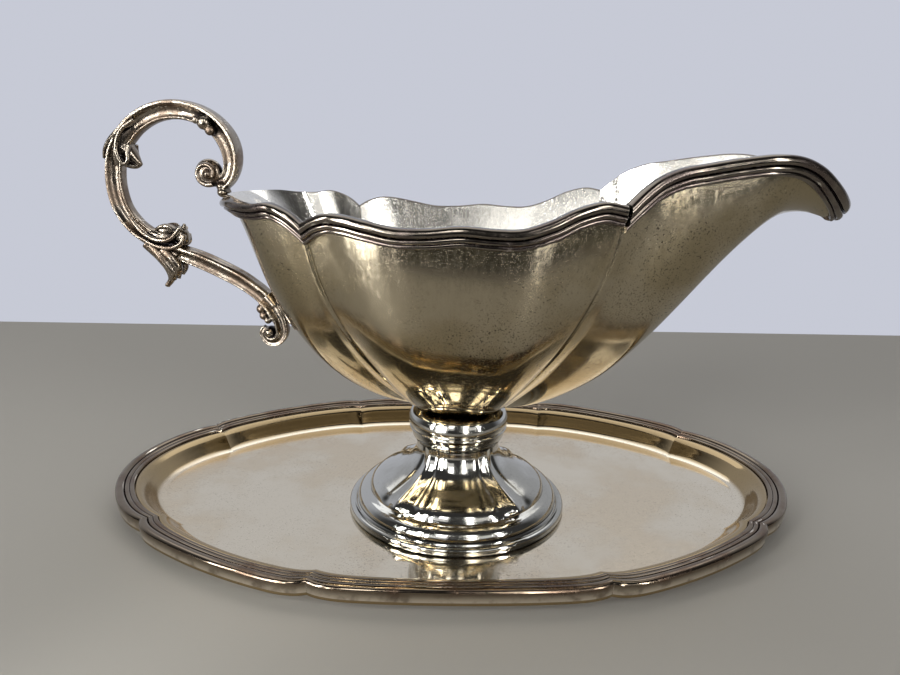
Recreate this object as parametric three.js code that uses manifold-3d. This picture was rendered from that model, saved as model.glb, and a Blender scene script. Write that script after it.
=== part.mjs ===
// A footed silver sauce boat standing loose on its lobed tray.
// Millimetres, +Z up. Origin: centre of the tray's flat underside. +X runs along the tray towards
// the spout, +Y towards the back. The boat is modelled in its own group on the axis of its foot and
// stands a little off the tray's centre, turned a few degrees.

import * as THREE from 'three';
import { mergeVertices } from 'three/addons/utils/BufferGeometryUtils.js';
import Module from 'manifold-3d';

const wasm = await Module();
wasm.setup();

// ---------------------------------------------------------------- driving dimensions

const GAP = 0.3; // clearance between soldered neighbours

// Tray: eight lobes between eight notches, each notch given once and mirrored to the other corners.
const END_NOTCH = { x: 95.8, y: 38.0, mitre: [0.70, 0.71] };
const SIDE_NOTCH = { x: 40.5, y: 68.6, mitre: [0.20, 0.98] };
const END_LOBE = { bulge: 19.4, ear: 3.0, shrink: 0.28 };
const CORNER_LOBE = { bulge: 5.9, ear: 2.6, shrink: 0.043 };
const SIDE_LOBE = { bulge: 4.4, ear: 2.4, shrink: 0.02 };
const EAR_FADE = 18; // inset over which a notch softens into the wall
const LOBE_STEPS = 8;
const WELL_TOP = 1.25;
const WELL_INSET = 14.2;
const FLANGE_TOP = 5.0;
const BORDER_WIDTH = 5.9;

// Where the boat stands on the tray.
const BOAT_X = 0.75;
const BOAT_Y = -9.75;
const BOAT_TURN = -7.8 * Math.PI / 180;

// Foot and stem, radii about the boat's own axis.
const FOOT_RADIUS = 36.3;
const SKIRT_FOOT_Z = 4.75;
const SKIRT_TOP_Z = 24.4;
const STEM_TOP_Z = 35.25;
const FOOT_RIDGES = [50, 130, 230, 310].map((deg) => deg * Math.PI / 180);
const FOOT_RIDGE_TURN = 6 * Math.PI / 180; // the skirt sits turned on the stem
const FOOT_STEPS = 56;

// Bowl: half-breadth rim points from one notch to the next, and the keel lines below the two ends.
// The keels run down to a small flat oval that sits on the cup of the stem.
const WALL = 1.3;
const BASE_LENGTH = 14; // half the length of the flat oval under the bowl
const BASE_BREADTH = 7.5;
const BASE_Z = 35.6;
const CREASE_ANGLE = 35 * Math.PI / 180; // where the four folds meet the oval
const RIM_BACK = [
  [-74.2, 0, 102.2], [-72.6, 9.5, 102.4], [-67.0, 19.5, 102.9], [-60.9, 25.6, 102.2], [-55.6, 28.9, 102.1],
  [-50.8, 30.9, 102.7], [-46.4, 31.9, 101.4], [-43.2, 32.2, 99.5], [-40.8, 32.3, 97.4],
];
const RIM_SIDE = [
  [-40.8, 32.3, 97.4], [-37.4, 33.6, 99.4], [-33.0, 35.2, 100.6], [-28.5, 36.4, 100.4], [-22.0, 37.6, 99.2],
  [-14.0, 38.5, 97.8], [-6.0, 39.0, 97.9], [3.5, 39.2, 98.8], [12.0, 38.9, 98.3], [19.0, 38.5, 98.5],
  [26.0, 37.8, 100.8], [33.0, 36.9, 104.2], [39.5, 35.9, 105.8], [44.8, 35.0, 105.0],
];
const RIM_SPOUT = [
  [44.8, 35.0, 105.0], [48.2, 33.4, 108.4], [52.4, 31.6, 111.7], [58.0, 29.6, 114.2], [65.5, 27.0, 115.7],
  [75.0, 24.2, 117.3], [84.0, 21.8, 118.3], [90.6, 19.4, 117.8], [96.8, 16.2, 115.5], [101.8, 12.8, 112.1],
  [105.6, 9.2, 108.9], [108.3, 4.9, 106.2], [109.2, 0, 105.2],
];
const KEEL_BACK = [
  [-67.6, 97.0], [-66.0, 88.6], [-63.6, 79.6], [-59.6, 71.0], [-53.6, 60.6], [-46.0, 51.6], [-37.0, 43.2],
  [-25.0, 37.4], [-BASE_LENGTH, BASE_Z],
];
const KEEL_SPOUT = [
  [BASE_LENGTH, BASE_Z], [26.4, 38.4], [43.0, 47.4], [52.8, 57.2], [59.4, 65.6], [64.6, 73.0], [69.8, 80.6],
  [75.4, 88.2], [81.2, 95.0], [87.2, 99.7], [94.0, 102.2], [100.6, 102.6], [105.8, 101.3],
];
const RIB_STEPS = 10;

// Handle centre lines in the boat's middle plane, as [x, z].
const UPPER_SCROLL = [
  [-78.2, 105.4], [-75.6, 107.4], [-73.8, 111.4], [-74.0, 116.6], [-76.3, 121.4], [-80.5, 125.3], [-86.1, 127.7],
  [-92.6, 128.3], [-99.0, 126.9], [-104.8, 123.5], [-109.2, 119.0],
];
const SCROLL_BALL = { x: -81.6, z: 109.2, radius: 4.5 };
const SCROLL_BUDS = [{ x: -81.0, z: 123.9, y: 3.4, radius: 2.0 }, { x: -79.6, z: 121.9, y: 3.2, radius: 1.5 }];
const STEM_SCROLL = [[-112.6, 111.0], [-112.9, 104.0], [-111.2, 97.0], [-107.0, 91.4], [-102.6, 88.2]];
const BRANCH = [[-94.0, 83.6], [-86.5, 81.1], [-79.0, 78.0], [-72.6, 74.9], [-67.4, 71.6], [-64.6, 69.2]];
const LOWER_SCROLL = [
  [-61.6, 65.6], [-59.8, 61.8], [-59.4, 58.0], [-61.2, 55.2], [-64.2, 55.0], [-66.0, 57.4], [-64.8, 59.6],
];

// ---------------------------------------------------------------- finishes

const metal = (color, roughness) => new THREE.MeshStandardMaterial({ color, roughness, metalness: 1 });
const TRAY_SILVER = metal(0xcfc4b2, 0.22);
const BORDER_SILVER = metal(0xb59a7c, 0.28);
const BOWL_SILVER = metal(0xb7ab86, 0.22);
const RIM_SILVER = metal(0x9c928a, 0.26);
const FOOT_SILVER = metal(0xbdb9ad, 0.12);
const HANDLE_SILVER = metal(0x8f8375, 0.32);

// ---------------------------------------------------------------- mesh helpers

const mirrorY = (p) => new THREE.Vector3(p.x, -p.y, p.z);
const lerp = THREE.MathUtils.lerp;

function smoothstep(value, low, high) {
  return THREE.MathUtils.smoothstep(value, low, high);
}

// A closed geometry from points and triangles: shared points merged, empty triangles dropped, and
// turned so that its faces point out.
function closedGeometry(points, triangles) {
  const loose = new THREE.BufferGeometry();
  const positions = points.flatMap((p) => [p.x, p.y, p.z]);
  loose.setAttribute('position', new THREE.Float32BufferAttribute(positions, 3));
  loose.setIndex(triangles.flat());
  const merged = mergeVertices(loose, 1e-3);
  const index = merged.getIndex().array;
  const place = merged.getAttribute('position');
  const corner = (i) => new THREE.Vector3().fromBufferAttribute(place, i);
  let kept = [];
  let volume = 0;
  for (let i = 0; i < index.length; i += 3) {
    const [a, b, c] = [index[i], index[i + 1], index[i + 2]];
    if (a === b || b === c || a === c) continue;
    kept.push([a, b, c]);
    volume += corner(a).dot(corner(b).cross(corner(c)));
  }
  if (volume < 0) kept = kept.map(([a, b, c]) => [a, c, b]);
  merged.setIndex(kept.flat());
  merged.computeVertexNormals();
  return merged;
}

// Skin over a row of closed sections. A closed row joins its last section to its first; an open row
// ends in flat caps that follow the triangles of the section's outline.
function skin(sections, { closedRow = false, capTriangles = [] } = {}) {
  const count = sections[0].length;
  const points = sections.flat();
  const triangles = [];
  const rows = closedRow ? sections.length : sections.length - 1;
  for (let i = 0; i < rows; i += 1) {
    const here = i * count;
    const next = ((i + 1) % sections.length) * count;
    for (let j = 0; j < count; j += 1) {
      const k = (j + 1) % count;
      triangles.push([here + j, next + j, next + k], [here + j, next + k, here + k]);
    }
  }
  const last = (sections.length - 1) * count;
  for (const [a, b, c] of capTriangles) {
    triangles.push([a, b, c], [last + a, last + c, last + b]);
  }
  return closedGeometry(points, triangles);
}

// Triangles filling a flat outline, wound the same way round as the outline itself.
function capOf(outline) {
  const flat = outline.map(([u, v]) => new THREE.Vector2(u, v));
  const wayRound = Math.sign(THREE.ShapeUtils.area(flat));
  return THREE.ShapeUtils.triangulateShape(flat, []).map(([a, b, c]) => {
    const face = THREE.ShapeUtils.area([flat[a], flat[b], flat[c]]);
    return Math.sign(face) === wayRound ? [a, b, c] : [a, c, b];
  });
}

function turned(profile, steps) {
  const geometry = new THREE.LatheGeometry(profile.map(([r, z]) => new THREE.Vector2(r, z)), steps);
  geometry.rotateX(Math.PI / 2);
  const place = geometry.getAttribute('position');
  const points = [];
  for (let i = 0; i < place.count; i += 1) points.push(new THREE.Vector3().fromBufferAttribute(place, i));
  const index = geometry.getIndex().array;
  const triangles = [];
  for (let i = 0; i < index.length; i += 3) triangles.push([index[i], index[i + 1], index[i + 2]]);
  return closedGeometry(points, triangles);
}

// ---------------------------------------------------------------- solids and booleans

function toSolid(geometry) {
  const bare = geometry.clone();
  bare.deleteAttribute('normal');
  bare.deleteAttribute('uv');
  const merged = mergeVertices(bare, 1e-4);
  return new wasm.Manifold(new wasm.Mesh({
    numProp: 3,
    vertProperties: new Float32Array(merged.getAttribute('position').array),
    triVerts: new Uint32Array(merged.getIndex().array),
  }));
}

function toGeometry(solid) {
  const mesh = solid.getMesh();
  const geometry = new THREE.BufferGeometry();
  geometry.setAttribute('position', new THREE.BufferAttribute(mesh.vertProperties, 3));
  geometry.setIndex(new THREE.BufferAttribute(mesh.triVerts, 1));
  geometry.computeVertexNormals();
  return geometry;
}

const joined = (...shapes) => toGeometry(shapes.map(toSolid).reduce((a, b) => a.add(b)));

// What is left of a shape outside the others; splinters beyond its main body are dropped.
function cutFrom(shape, ...tools) {
  const left = tools.map(toSolid).reduce((a, b) => a.subtract(b), toSolid(shape));
  const bodies = left.decompose().sort((a, b) => b.volume() - a.volume());
  return toGeometry(bodies[0]);
}

// A shape trimmed back from its neighbours, with clearance on the sides they are moved towards.
function trimmed(shape, neighbours, ...moves) {
  const moved = moves.flatMap((move) => neighbours.map((other) => other.clone().translate(...move)));
  return cutFrom(shape, ...neighbours, ...moved);
}

function ball({ x, y = 0, z, radius }, squash = [1, 1, 1], turn = 0, steps = 10) {
  const geometry = new THREE.SphereGeometry(radius, steps, Math.round(steps * 0.7));
  geometry.scale(...squash);
  geometry.rotateY(turn);
  geometry.translate(x, y, z);
  return geometry;
}

// ---------------------------------------------------------------- tray

function notch(kind, sideX, sideY, inset) {
  const x = kind.x - inset * kind.mitre[0];
  const y = kind.y - inset * kind.mitre[1];
  return new THREE.Vector2(sideX * x, sideY * y);
}

// The eight lobes in order round the tray, each from one notch to the next.
const LOBES = [
  { name: 'right_end', kind: END_LOBE, from: [END_NOTCH, 1, -1], to: [END_NOTCH, 1, 1] },
  { name: 'back_right', kind: CORNER_LOBE, from: [END_NOTCH, 1, 1], to: [SIDE_NOTCH, 1, 1] },
  { name: 'back_middle', kind: SIDE_LOBE, from: [SIDE_NOTCH, 1, 1], to: [SIDE_NOTCH, -1, 1] },
  { name: 'back_left', kind: CORNER_LOBE, from: [SIDE_NOTCH, -1, 1], to: [END_NOTCH, -1, 1] },
  { name: 'left_end', kind: END_LOBE, from: [END_NOTCH, -1, 1], to: [END_NOTCH, -1, -1] },
  { name: 'front_left', kind: CORNER_LOBE, from: [END_NOTCH, -1, -1], to: [SIDE_NOTCH, -1, -1] },
  { name: 'front_middle', kind: SIDE_LOBE, from: [SIDE_NOTCH, -1, -1], to: [SIDE_NOTCH, 1, -1] },
  { name: 'front_right', kind: CORNER_LOBE, from: [SIDE_NOTCH, 1, -1], to: [END_NOTCH, 1, -1] },
];

// A point on a lobe's edge at inset mm inside the tray's outline; t runs from -1 to 1 along it.
function lobePoint(lobe, t, inset) {
  const start = notch(...lobe.from, inset);
  const end = notch(...lobe.to, inset);
  const along = end.clone().sub(start);
  const outward = new THREE.Vector2(along.y, -along.x).normalize();
  const ear = lobe.kind.ear * (1 - 0.75 * Math.min(1, inset / EAR_FADE));
  const swell = lobe.kind.bulge - lobe.kind.shrink * inset - ear;
  const offset = swell * (1 - t * t) + ear * (1 - Math.abs(t) ** 10);
  return start.addScaledVector(along, (t + 1) / 2).addScaledVector(outward, offset);
}

const lobeSteps = (steps) => Array.from({ length: steps + 1 }, (_, i) => -Math.cos(Math.PI * i / steps));

// Sections of the plate from its middle: well, wall, flange under the border, and back underneath.
function trayPlate() {
  const profile = [
    [WELL_INSET, WELL_TOP], [12.8, 1.8], [10.8, 3.9], [8.8, 6.3], [7.4, 7.2], [BORDER_WIDTH + GAP, 7.2],
    [BORDER_WIDTH + GAP, FLANGE_TOP], [0.5, FLANGE_TOP], [0.5, 4.0], [6.6, 4.0], [8.3, 4.6], [10.6, 2.2],
    [12.6, 0.4], [13.8, 0],
  ];
  const edge = LOBES.flatMap((lobe) => lobeSteps(LOBE_STEPS).slice(0, -1).map((t) => ({ lobe, t })));
  const rings = profile.map(([inset, z]) => edge.map(({ lobe, t }) => {
    const p = lobePoint(lobe, t, inset);
    return new THREE.Vector3(p.x, p.y, z);
  }));
  const points = rings.flat();
  const triangles = [];
  for (let i = 0; i < rings.length - 1; i += 1) {
    for (let j = 0; j < edge.length; j += 1) {
      const k = (j + 1) % edge.length;
      const [here, next] = [i * edge.length, (i + 1) * edge.length];
      triangles.push([here + j, next + j, next + k], [here + j, next + k, here + k]);
    }
  }
  const last = (rings.length - 1) * edge.length;
  const [top, bottom] = [points.length, points.length + 1];
  points.push(new THREE.Vector3(0, 0, WELL_TOP), new THREE.Vector3(0, 0, 0));
  for (let j = 0; j < edge.length; j += 1) {
    const k = (j + 1) % edge.length;
    triangles.push([top, j, k], [bottom, last + k, last + j]);
  }
  return closedGeometry(points, triangles);
}

// Reeded border moulding as [inset, z]: a bold outer bead, a groove and two fine reeds.
const BORDER_SECTION = [
  [0.2, FLANGE_TOP], [0, 5.6], [0, 7.5], [0.5, 8.4], [1.4, 8.75], [2.2, 8.4], [2.7, 7.8], [3.2, 8.3], [3.9, 8.4],
  [4.4, 7.9], [5.1, 8.1], [BORDER_WIDTH, 7.4], [BORDER_WIDTH, FLANGE_TOP],
];

function borderLength(lobe) {
  const chord = notch(...lobe.to, 0).distanceTo(notch(...lobe.from, 0));
  const trim = 1 - GAP / chord;
  const sections = lobeSteps(LOBE_STEPS).map((t) => BORDER_SECTION.map(([inset, z]) => {
    const p = lobePoint(lobe, t * trim, inset);
    return new THREE.Vector3(p.x, p.y, z);
  }));
  return skin(sections, { capTriangles: capOf(BORDER_SECTION) });
}

// ---------------------------------------------------------------- bowl

const vectors = (rows) => rows.map(([x, y, z]) => new THREE.Vector3(x, y, z));
const inMiddle = (rows) => rows.map(([x, z]) => new THREE.Vector3(x, 0, z));
const curveThrough = (points) => new THREE.CatmullRomCurve3(points);

// Rim curves over both sides of an end, so that they cross the middle plane square to it.
const backRim = curveThrough([...vectors(RIM_BACK).reverse().map(mirrorY), ...vectors(RIM_BACK).slice(1)]);
const spoutRim = curveThrough([...vectors(RIM_SPOUT).map(mirrorY), ...vectors(RIM_SPOUT).reverse().slice(1)]);
const sideRim = curveThrough(vectors(RIM_SIDE));
const backKeel = curveThrough(inMiddle(KEEL_BACK));
const spoutKeel = curveThrough(inMiddle(KEEL_SPOUT));

function onBase(angle) {
  return new THREE.Vector3(BASE_LENGTH * Math.cos(angle), BASE_BREADTH * Math.sin(angle), BASE_Z);
}

// A rib starts on the base curve: along a keel for the first part of an end panel, then round the
// oval as far as the fold.
const ON_KEEL = 0.92;

function endBase(keel, straight, q) {
  if (q < ON_KEEL) return keel(q / ON_KEEL);
  const turn = CREASE_ANGLE * (q - ON_KEEL) / (1 - ON_KEEL);
  return onBase(straight - Math.sign(straight - 0.1) * turn);
}

// The three panels of one half of the bowl, from the handle end to the spout. rim and base give a
// rib's two ends at q from 0 to 1. hollow sets how slowly the rib swings out as it leaves the base;
// it is greatest at the folds, which makes them dip. flare is how far the wall draws in under the
// rim, and mouldingDepth scales the rim moulding's height.
const PANELS = {
  back: {
    steps: 12,
    rim: (q) => backRim.getPointAt(0.5 + q / 2),
    base: (q) => endBase((k) => backKeel.getPointAt(k * k * (2 - k)), Math.PI, q),
    hollow: (q) => lerp(1.3, 1.7, q) + 0.35 * q ** 10,
    flare: (q) => lerp(0.065, 0.03, q),
    mouldingDepth: 0.82,
  },
  side: {
    steps: 14,
    rim: (q) => sideRim.getPointAt(q),
    base: (q) => onBase(lerp(Math.PI - CREASE_ANGLE, CREASE_ANGLE, q)),
    hollow: (q) => 1.2 + 0.9 * Math.abs(2 * q - 1) ** 4,
    flare: () => 0.03,
    mouldingDepth: 1,
  },
  spout: {
    steps: 17,
    rim: (q) => spoutRim.getPointAt(1 - q / 2),
    base: (q) => endBase((k) => spoutKeel.getPointAt(1 - k * k * (2 - k)), 0, 1 - q),
    hollow: (q) => lerp(1.8, 1.05, q ** 1.5) + 0.35 * (1 - q) ** 10,
    flare: (q) => 0.03 * (1 - q),
    mouldingDepth: 1,
  },
};

// A point of the bowl's outer face on the rib at q of a panel, on the +Y side: t is 0 on the base
// and 1 at the rim.
function bowlPoint(panel, q, t) {
  const rim = panel.rim(q);
  const base = panel.base(q);
  const angle = t * Math.PI / 2;
  const reach = Math.sin(angle) ** panel.hollow(q);
  const rise = 1 - Math.cos(angle);
  const drawn = 1 - panel.flare(q) * 6.75 * t * t * (1 - t);
  return new THREE.Vector3(
    lerp(base.x, rim.x, reach) * drawn,
    lerp(base.y, rim.y, reach) * drawn,
    lerp(base.z, rim.z, rise),
  );
}

// The directions up the rib, along the bowl and out of its face at a point on it.
function bowlFrame(panel, q, t) {
  const step = 0.004;
  const [low, high] = t < 0.5 ? [t, t + step] : [t - step, t];
  const up = bowlPoint(panel, q, high).sub(bowlPoint(panel, q, low)).normalize();
  const before = bowlPoint(panel, Math.max(0, q - step), Math.max(t, step));
  const after = bowlPoint(panel, Math.min(1, q + step), Math.max(t, step));
  const along = after.sub(before).normalize();
  const out = new THREE.Vector3().crossVectors(up, along).normalize();
  return { up, along, out };
}

function innerPoint(panel, q, t) {
  const outer = bowlPoint(panel, q, t);
  const inner = outer.clone().addScaledVector(bowlFrame(panel, q, t).out, -WALL);
  inner.y = outer.y < 1e-6 ? 0 : Math.max(inner.y, 0.15 * outer.y);
  return inner;
}

// The bowl's wall, or with hollow false the whole mass inside its outer face.
function bowlBody(hollow = true) {
  const stations = Object.values(PANELS).flatMap((panel, i) => {
    const first = i === 0 ? 0 : 1;
    return Array.from({ length: panel.steps + 1 - first }, (_, k) => [panel, (k + first) / panel.steps]);
  });
  const up = Array.from({ length: RIB_STEPS + 1 }, (_, i) => i / RIB_STEPS);
  const face = (panel, q, place) => {
    const rib = up.map((t) => place(panel, q, t));
    return [...rib.toReversed().map(mirrorY), ...rib];
  };
  const sections = stations.map(([panel, q]) => [
    ...face(panel, q, bowlPoint),
    ...(hollow ? face(panel, q, innerPoint).reverse() : []),
  ]);
  return skin(sections);
}

// Reeded rim moulding as [out from the wall, down the wall]: one broad bead over three fine reeds.
const RIM_BACK_FACE = 0.4;
const RIM_SECTION = [
  [RIM_BACK_FACE, -0.5], [1.7, -0.5], [2.7, 0.2], [2.7, 1.0], [2.3, 1.5], [2.6, 2.2], [2.0, 2.8], [2.2, 3.4],
  [1.5, 3.9], [1.5, 4.5], [1.0, 4.9], [RIM_BACK_FACE, 4.9], [RIM_BACK_FACE, 3.1], [RIM_BACK_FACE, 1.3],
];

// The place a given depth down the rib from the rim, and the way out of the wall there.
function wallAt(panel, q, depth) {
  const step = 0.004;
  let t = 1;
  let place = bowlPoint(panel, q, 1);
  let gone = 0;
  while (gone < depth && t > 0.02) {
    t -= step;
    const next = bowlPoint(panel, q, t);
    gone += place.distanceTo(next);
    place = next;
  }
  const { up, out } = bowlFrame(panel, q, t);
  if (depth < 0) place.addScaledVector(up, -depth);
  return { place, out };
}

function rimSection(panel, q) {
  const { up, along } = bowlFrame(panel, q, 1);
  const stretch = panel.mouldingDepth * Math.min(1.3, 1 / Math.sqrt(1 - up.dot(along) ** 2));
  return RIM_SECTION.map(([o, d]) => {
    const { place, out } = wallAt(panel, q, d * stretch);
    return place.addScaledVector(out, o);
  });
}

// Moulding along one panel; an end panel's moulding carries on round the other side.
function rimLength(panel, steps, middle) {
  const length = panel.rim(0).distanceTo(panel.rim(0.5)) + panel.rim(0.5).distanceTo(panel.rim(1));
  const trim = GAP / length;
  const spread = Array.from({ length: steps + 1 }, (_, i) => i / steps);
  if (middle === undefined) {
    const sections = spread.map((s) => rimSection(panel, lerp(trim, 1 - trim, s)));
    return skin(sections, { capTriangles: capOf(RIM_SECTION) });
  }
  const half = spread.map((s) => rimSection(panel, lerp(Math.abs(1 - trim - middle), middle, s)));
  for (const p of half.at(-1)) p.y = 0;
  const other = half.slice(0, -1).toReversed().map((section) => section.map(mirrorY));
  return skin([...half, ...other], { capTriangles: capOf(RIM_SECTION) });
}

function otherSide(geometry) {
  const place = geometry.getAttribute('position');
  const index = geometry.getIndex().array;
  const points = Array.from({ length: place.count }, (_, i) => mirrorY(new THREE.Vector3().fromBufferAttribute(place, i)));
  const triangles = Array.from({ length: index.length / 3 }, (_, i) => [...index.slice(3 * i, 3 * i + 3)]);
  return closedGeometry(points, triangles);
}

// ---------------------------------------------------------------- foot and stem

const FOOT_BASE = [
  [32.2, 1.5], [FOOT_RADIUS, 1.5], [FOOT_RADIUS, 2.7], [35.8, 3.6], [34.9, 4.0], [34.3, 3.7], [33.8, 4.4],
  [32.2, 4.4],
];

const STEM = [
  [0, SKIRT_TOP_Z + GAP], [13.4, SKIRT_TOP_Z + GAP], [14.5, 25.4], [15.4, 27.2], [15.8, 29.0], [16.2, 29.7],
  [16.4, 31.4], [16.1, 33.2], [15.6, 34.7], [14.9, STEM_TOP_Z], [0, STEM_TOP_Z],
];

const SKIRT_OUTSIDE = [
  [33.6, SKIRT_FOOT_Z], [33.1, 6.2], [31.2, 7.8], [29.4, 8.4], [29.0, 9.6], [27.2, 11.4], [23.6, 13.2],
  [19.6, 15.2], [16.6, 17.4], [14.9, 19.6], [13.9, 22.0], [13.7, SKIRT_TOP_Z],
];
const SKIRT_INSIDE = [
  [12.2, SKIRT_TOP_Z], [12.4, 21.6], [13.6, 18.8], [16.0, 15.8], [19.2, 13.6], [23.0, 11.6], [26.4, 9.4],
  [28.0, 7.0], [30.4, 5.8], [31.6, SKIRT_FOOT_Z],
];

// Four rounded ridges run down the skirt between its broad lobes.
function ridgeHeight(angle, z) {
  const fade = smoothstep(z, 8.2, 10) * (1 - 0.8 * smoothstep(z, 13, SKIRT_TOP_Z));
  const gap = Math.min(...FOOT_RIDGES.map((ridge) => {
    const turn = Math.abs(angle - ridge - FOOT_RIDGE_TURN) % (2 * Math.PI);
    return Math.min(turn, 2 * Math.PI - turn);
  }));
  return 1.1 * fade * Math.exp(-((gap / 0.13) ** 2));
}

function footSkirt() {
  const ring = (profile, ridged) => ([r, z]) => Array.from({ length: FOOT_STEPS }, (_, i) => {
    const angle = 2 * Math.PI * i / FOOT_STEPS - Math.PI / 2;
    const radius = r + (ridged ? ridgeHeight(angle + Math.PI / 2, z) : 0);
    return new THREE.Vector3(radius * Math.cos(angle), radius * Math.sin(angle), z);
  });
  const rings = [...SKIRT_OUTSIDE.map(ring(SKIRT_OUTSIDE, true)), ...SKIRT_INSIDE.map(ring(SKIRT_INSIDE, false))];
  return skin(rings, { closedRow: true });
}

// ---------------------------------------------------------------- handle

// Section of the scrolls as [in the handle's plane, across it]: channelled on both cheeks.
const SCROLL_SECTION = [
  [1, 0], [0.92, 0.62], [0.62, 0.98], [0, 0.72], [-0.62, 0.98], [-0.92, 0.62],
  [-1, 0], [-0.92, -0.62], [-0.62, -0.98], [0, -0.72], [0.62, -0.98], [0.92, -0.62],
];

// A scroll swept along a plane curve; size gives its half-thickness in and across the plane at u.
function scroll(rows, steps, size) {
  const curve = curveThrough(rows.map(([x, z]) => new THREE.Vector3(x, 0, z)));
  const sections = Array.from({ length: steps + 1 }, (_, i) => {
    const u = i / steps;
    const place = curve.getPointAt(u);
    const along = curve.getTangentAt(u);
    const inPlane = new THREE.Vector3(along.z, 0, -along.x);
    const [thick, wide] = size(u);
    return SCROLL_SECTION.map(([a, b]) => place.clone().addScaledVector(inPlane, a * thick)
      .add(new THREE.Vector3(0, b * wide, 0)));
  });
  return skin(sections, { capTriangles: capOf(SCROLL_SECTION) });
}

function upperScroll() {
  const swell = (u, from, to) => lerp(from, to, smoothstep(u, 0, 0.3));
  const arm = scroll(UPPER_SCROLL, 20, (u) => [swell(u, 2.2, 3.0), swell(u, 2.8, 3.9)]);
  const buds = SCROLL_BUDS.flatMap((bud) => [ball(bud, [1, 0.8, 1]), ball({ ...bud, y: -bud.y }, [1, 0.8, 1])]);
  const rimBead = ball({ x: -77.6, z: 105.6, radius: 2.2 }, [1, 1.3, 0.8]);
  const rimStub = ball({ x: -78.3, z: 103.6, radius: 1.9 }, [1, 1.4, 1]);
  return joined(arm, ball(SCROLL_BALL, [1, 0.95, 1], 0, 16), rimBead, rimStub, ...buds);
}

// The leaf in which the upper scroll ends: a sleeve with a lip curling inwards and a tip outwards.
function upperLeaf(above) {
  const sleeve = scroll(
    [[-109.6, 118.4], [-111.2, 115.8], [-112.2, 113.2], [-112.5, 111.4]],
    6,
    (u) => [3.5 - 0.6 * u, 4.4 - 0.5 * u],
  );
  const lip = scroll(
    [[-108.4, 116.4], [-107.2, 114.6], [-105.8, 112.8], [-104.4, 111.6]],
    6,
    (u) => [2.0 - 1.4 * u, 3.4 - 2.4 * u],
  );
  const tip = scroll(
    [[-113.0, 117.0], [-114.9, 114.8], [-116.2, 112.2]],
    5,
    (u) => [1.6 - 1.0 * u, 3.0 - 2.1 * u],
  );
  return trimmed(joined(sleeve, lip, tip), above, [0, 0, -GAP], [GAP, 0, -GAP], [-GAP, 0, -GAP]);
}

// Curled acanthus lobes where the stem meets the branch.
function acanthus() {
  const body = scroll([[-102.0, 87.8], [-98.4, 86.1], [-94.6, 83.9]], 5, (u) => [3.0 - 0.2 * u, 3.8 - 0.3 * u]);
  const crest = scroll(
    [[-100.4, 89.6], [-97.4, 90.8], [-94.4, 89.8], [-92.6, 87.2]],
    8,
    (u) => [1.6 - 0.3 * u, 4.0 - 1.2 * u],
  );
  const bud = ball({ x: -99.4, z: 90.4, radius: 2.0 }, [1, 1.7, 0.9], 0.4);
  const lobe = ball({ x: -93.3, z: 88.4, radius: 2.7 }, [0.8, 1.4, 1.25], -0.5);
  return joined(body, crest, bud, lobe);
}

// A leaf hanging from the foot of the stem, cut back to clear the acanthus above it.
function pendantLeaf(above) {
  const blade = scroll(
    [[-105.6, 86.8], [-101.6, 82.2], [-98.9, 77.6], [-99.0, 73.9], [-100.6, 71.6]],
    10,
    (u) => [2.1 - 1.3 * u, 3.6 - 2.4 * u],
  );
  const lobe = scroll(
    [[-100.2, 82.8], [-96.6, 80.4], [-94.4, 77.8], [-94.6, 75.8]],
    6,
    (u) => [1.8 - 1.0 * u, 3.0 - 1.6 * u],
  );
  return trimmed(joined(blade, lobe), above, [0, 0, -GAP], [GAP, 0, -GAP]);
}

function lowerScroll() {
  const neck = scroll([[-64.35, 68.9], [-62.3, 66.7], [-60.7, 63.9]], 3, () => [2.6, 3.3]);
  const curl = scroll(LOWER_SCROLL, 14, (u) => [lerp(2.5, 1.2, u), lerp(3.3, 2.2, u)]);
  const eye = ball({ x: -63.2, z: 58.0, radius: 2.1 }, [1, 1.25, 1]);
  const lobes = [[-65.6, 65.4], [-64.4, 63.4]].map(([x, z]) => ball({ x, z, radius: 1.8 }, [1, 1.2, 1]));
  return joined(neck, curl, eye, ...lobes);
}

// Leaf fingers soldered to the back of the bowl, cut back to clear the wall and the scroll beside them.
function bowlLeaf(beside) {
  const pad = scroll(
    [[-62.0, 69.2], [-58.6, 65.2], [-56.0, 61.2], [-53.6, 57.2]],
    8,
    (u) => [2.6 - 1.0 * u, 3.4 + 0.8 * u],
  );
  const clearOfWall = trimmed(pad, [bowlBody(false)], [-GAP, 0, -GAP]);
  return trimmed(clearOfWall, beside, [GAP, 0, 0], [GAP, 0, GAP]);
}

// ---------------------------------------------------------------- assembly

function piece(name, geometry, material) {
  const mesh = new THREE.Mesh(geometry, material);
  mesh.name = name;
  return mesh;
}

const tray = new THREE.Group();
tray.add(piece('tray_plate', trayPlate(), TRAY_SILVER));
for (const lobe of LOBES) tray.add(piece(`tray_border_${lobe.name}`, borderLength(lobe), BORDER_SILVER.clone()));

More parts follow.
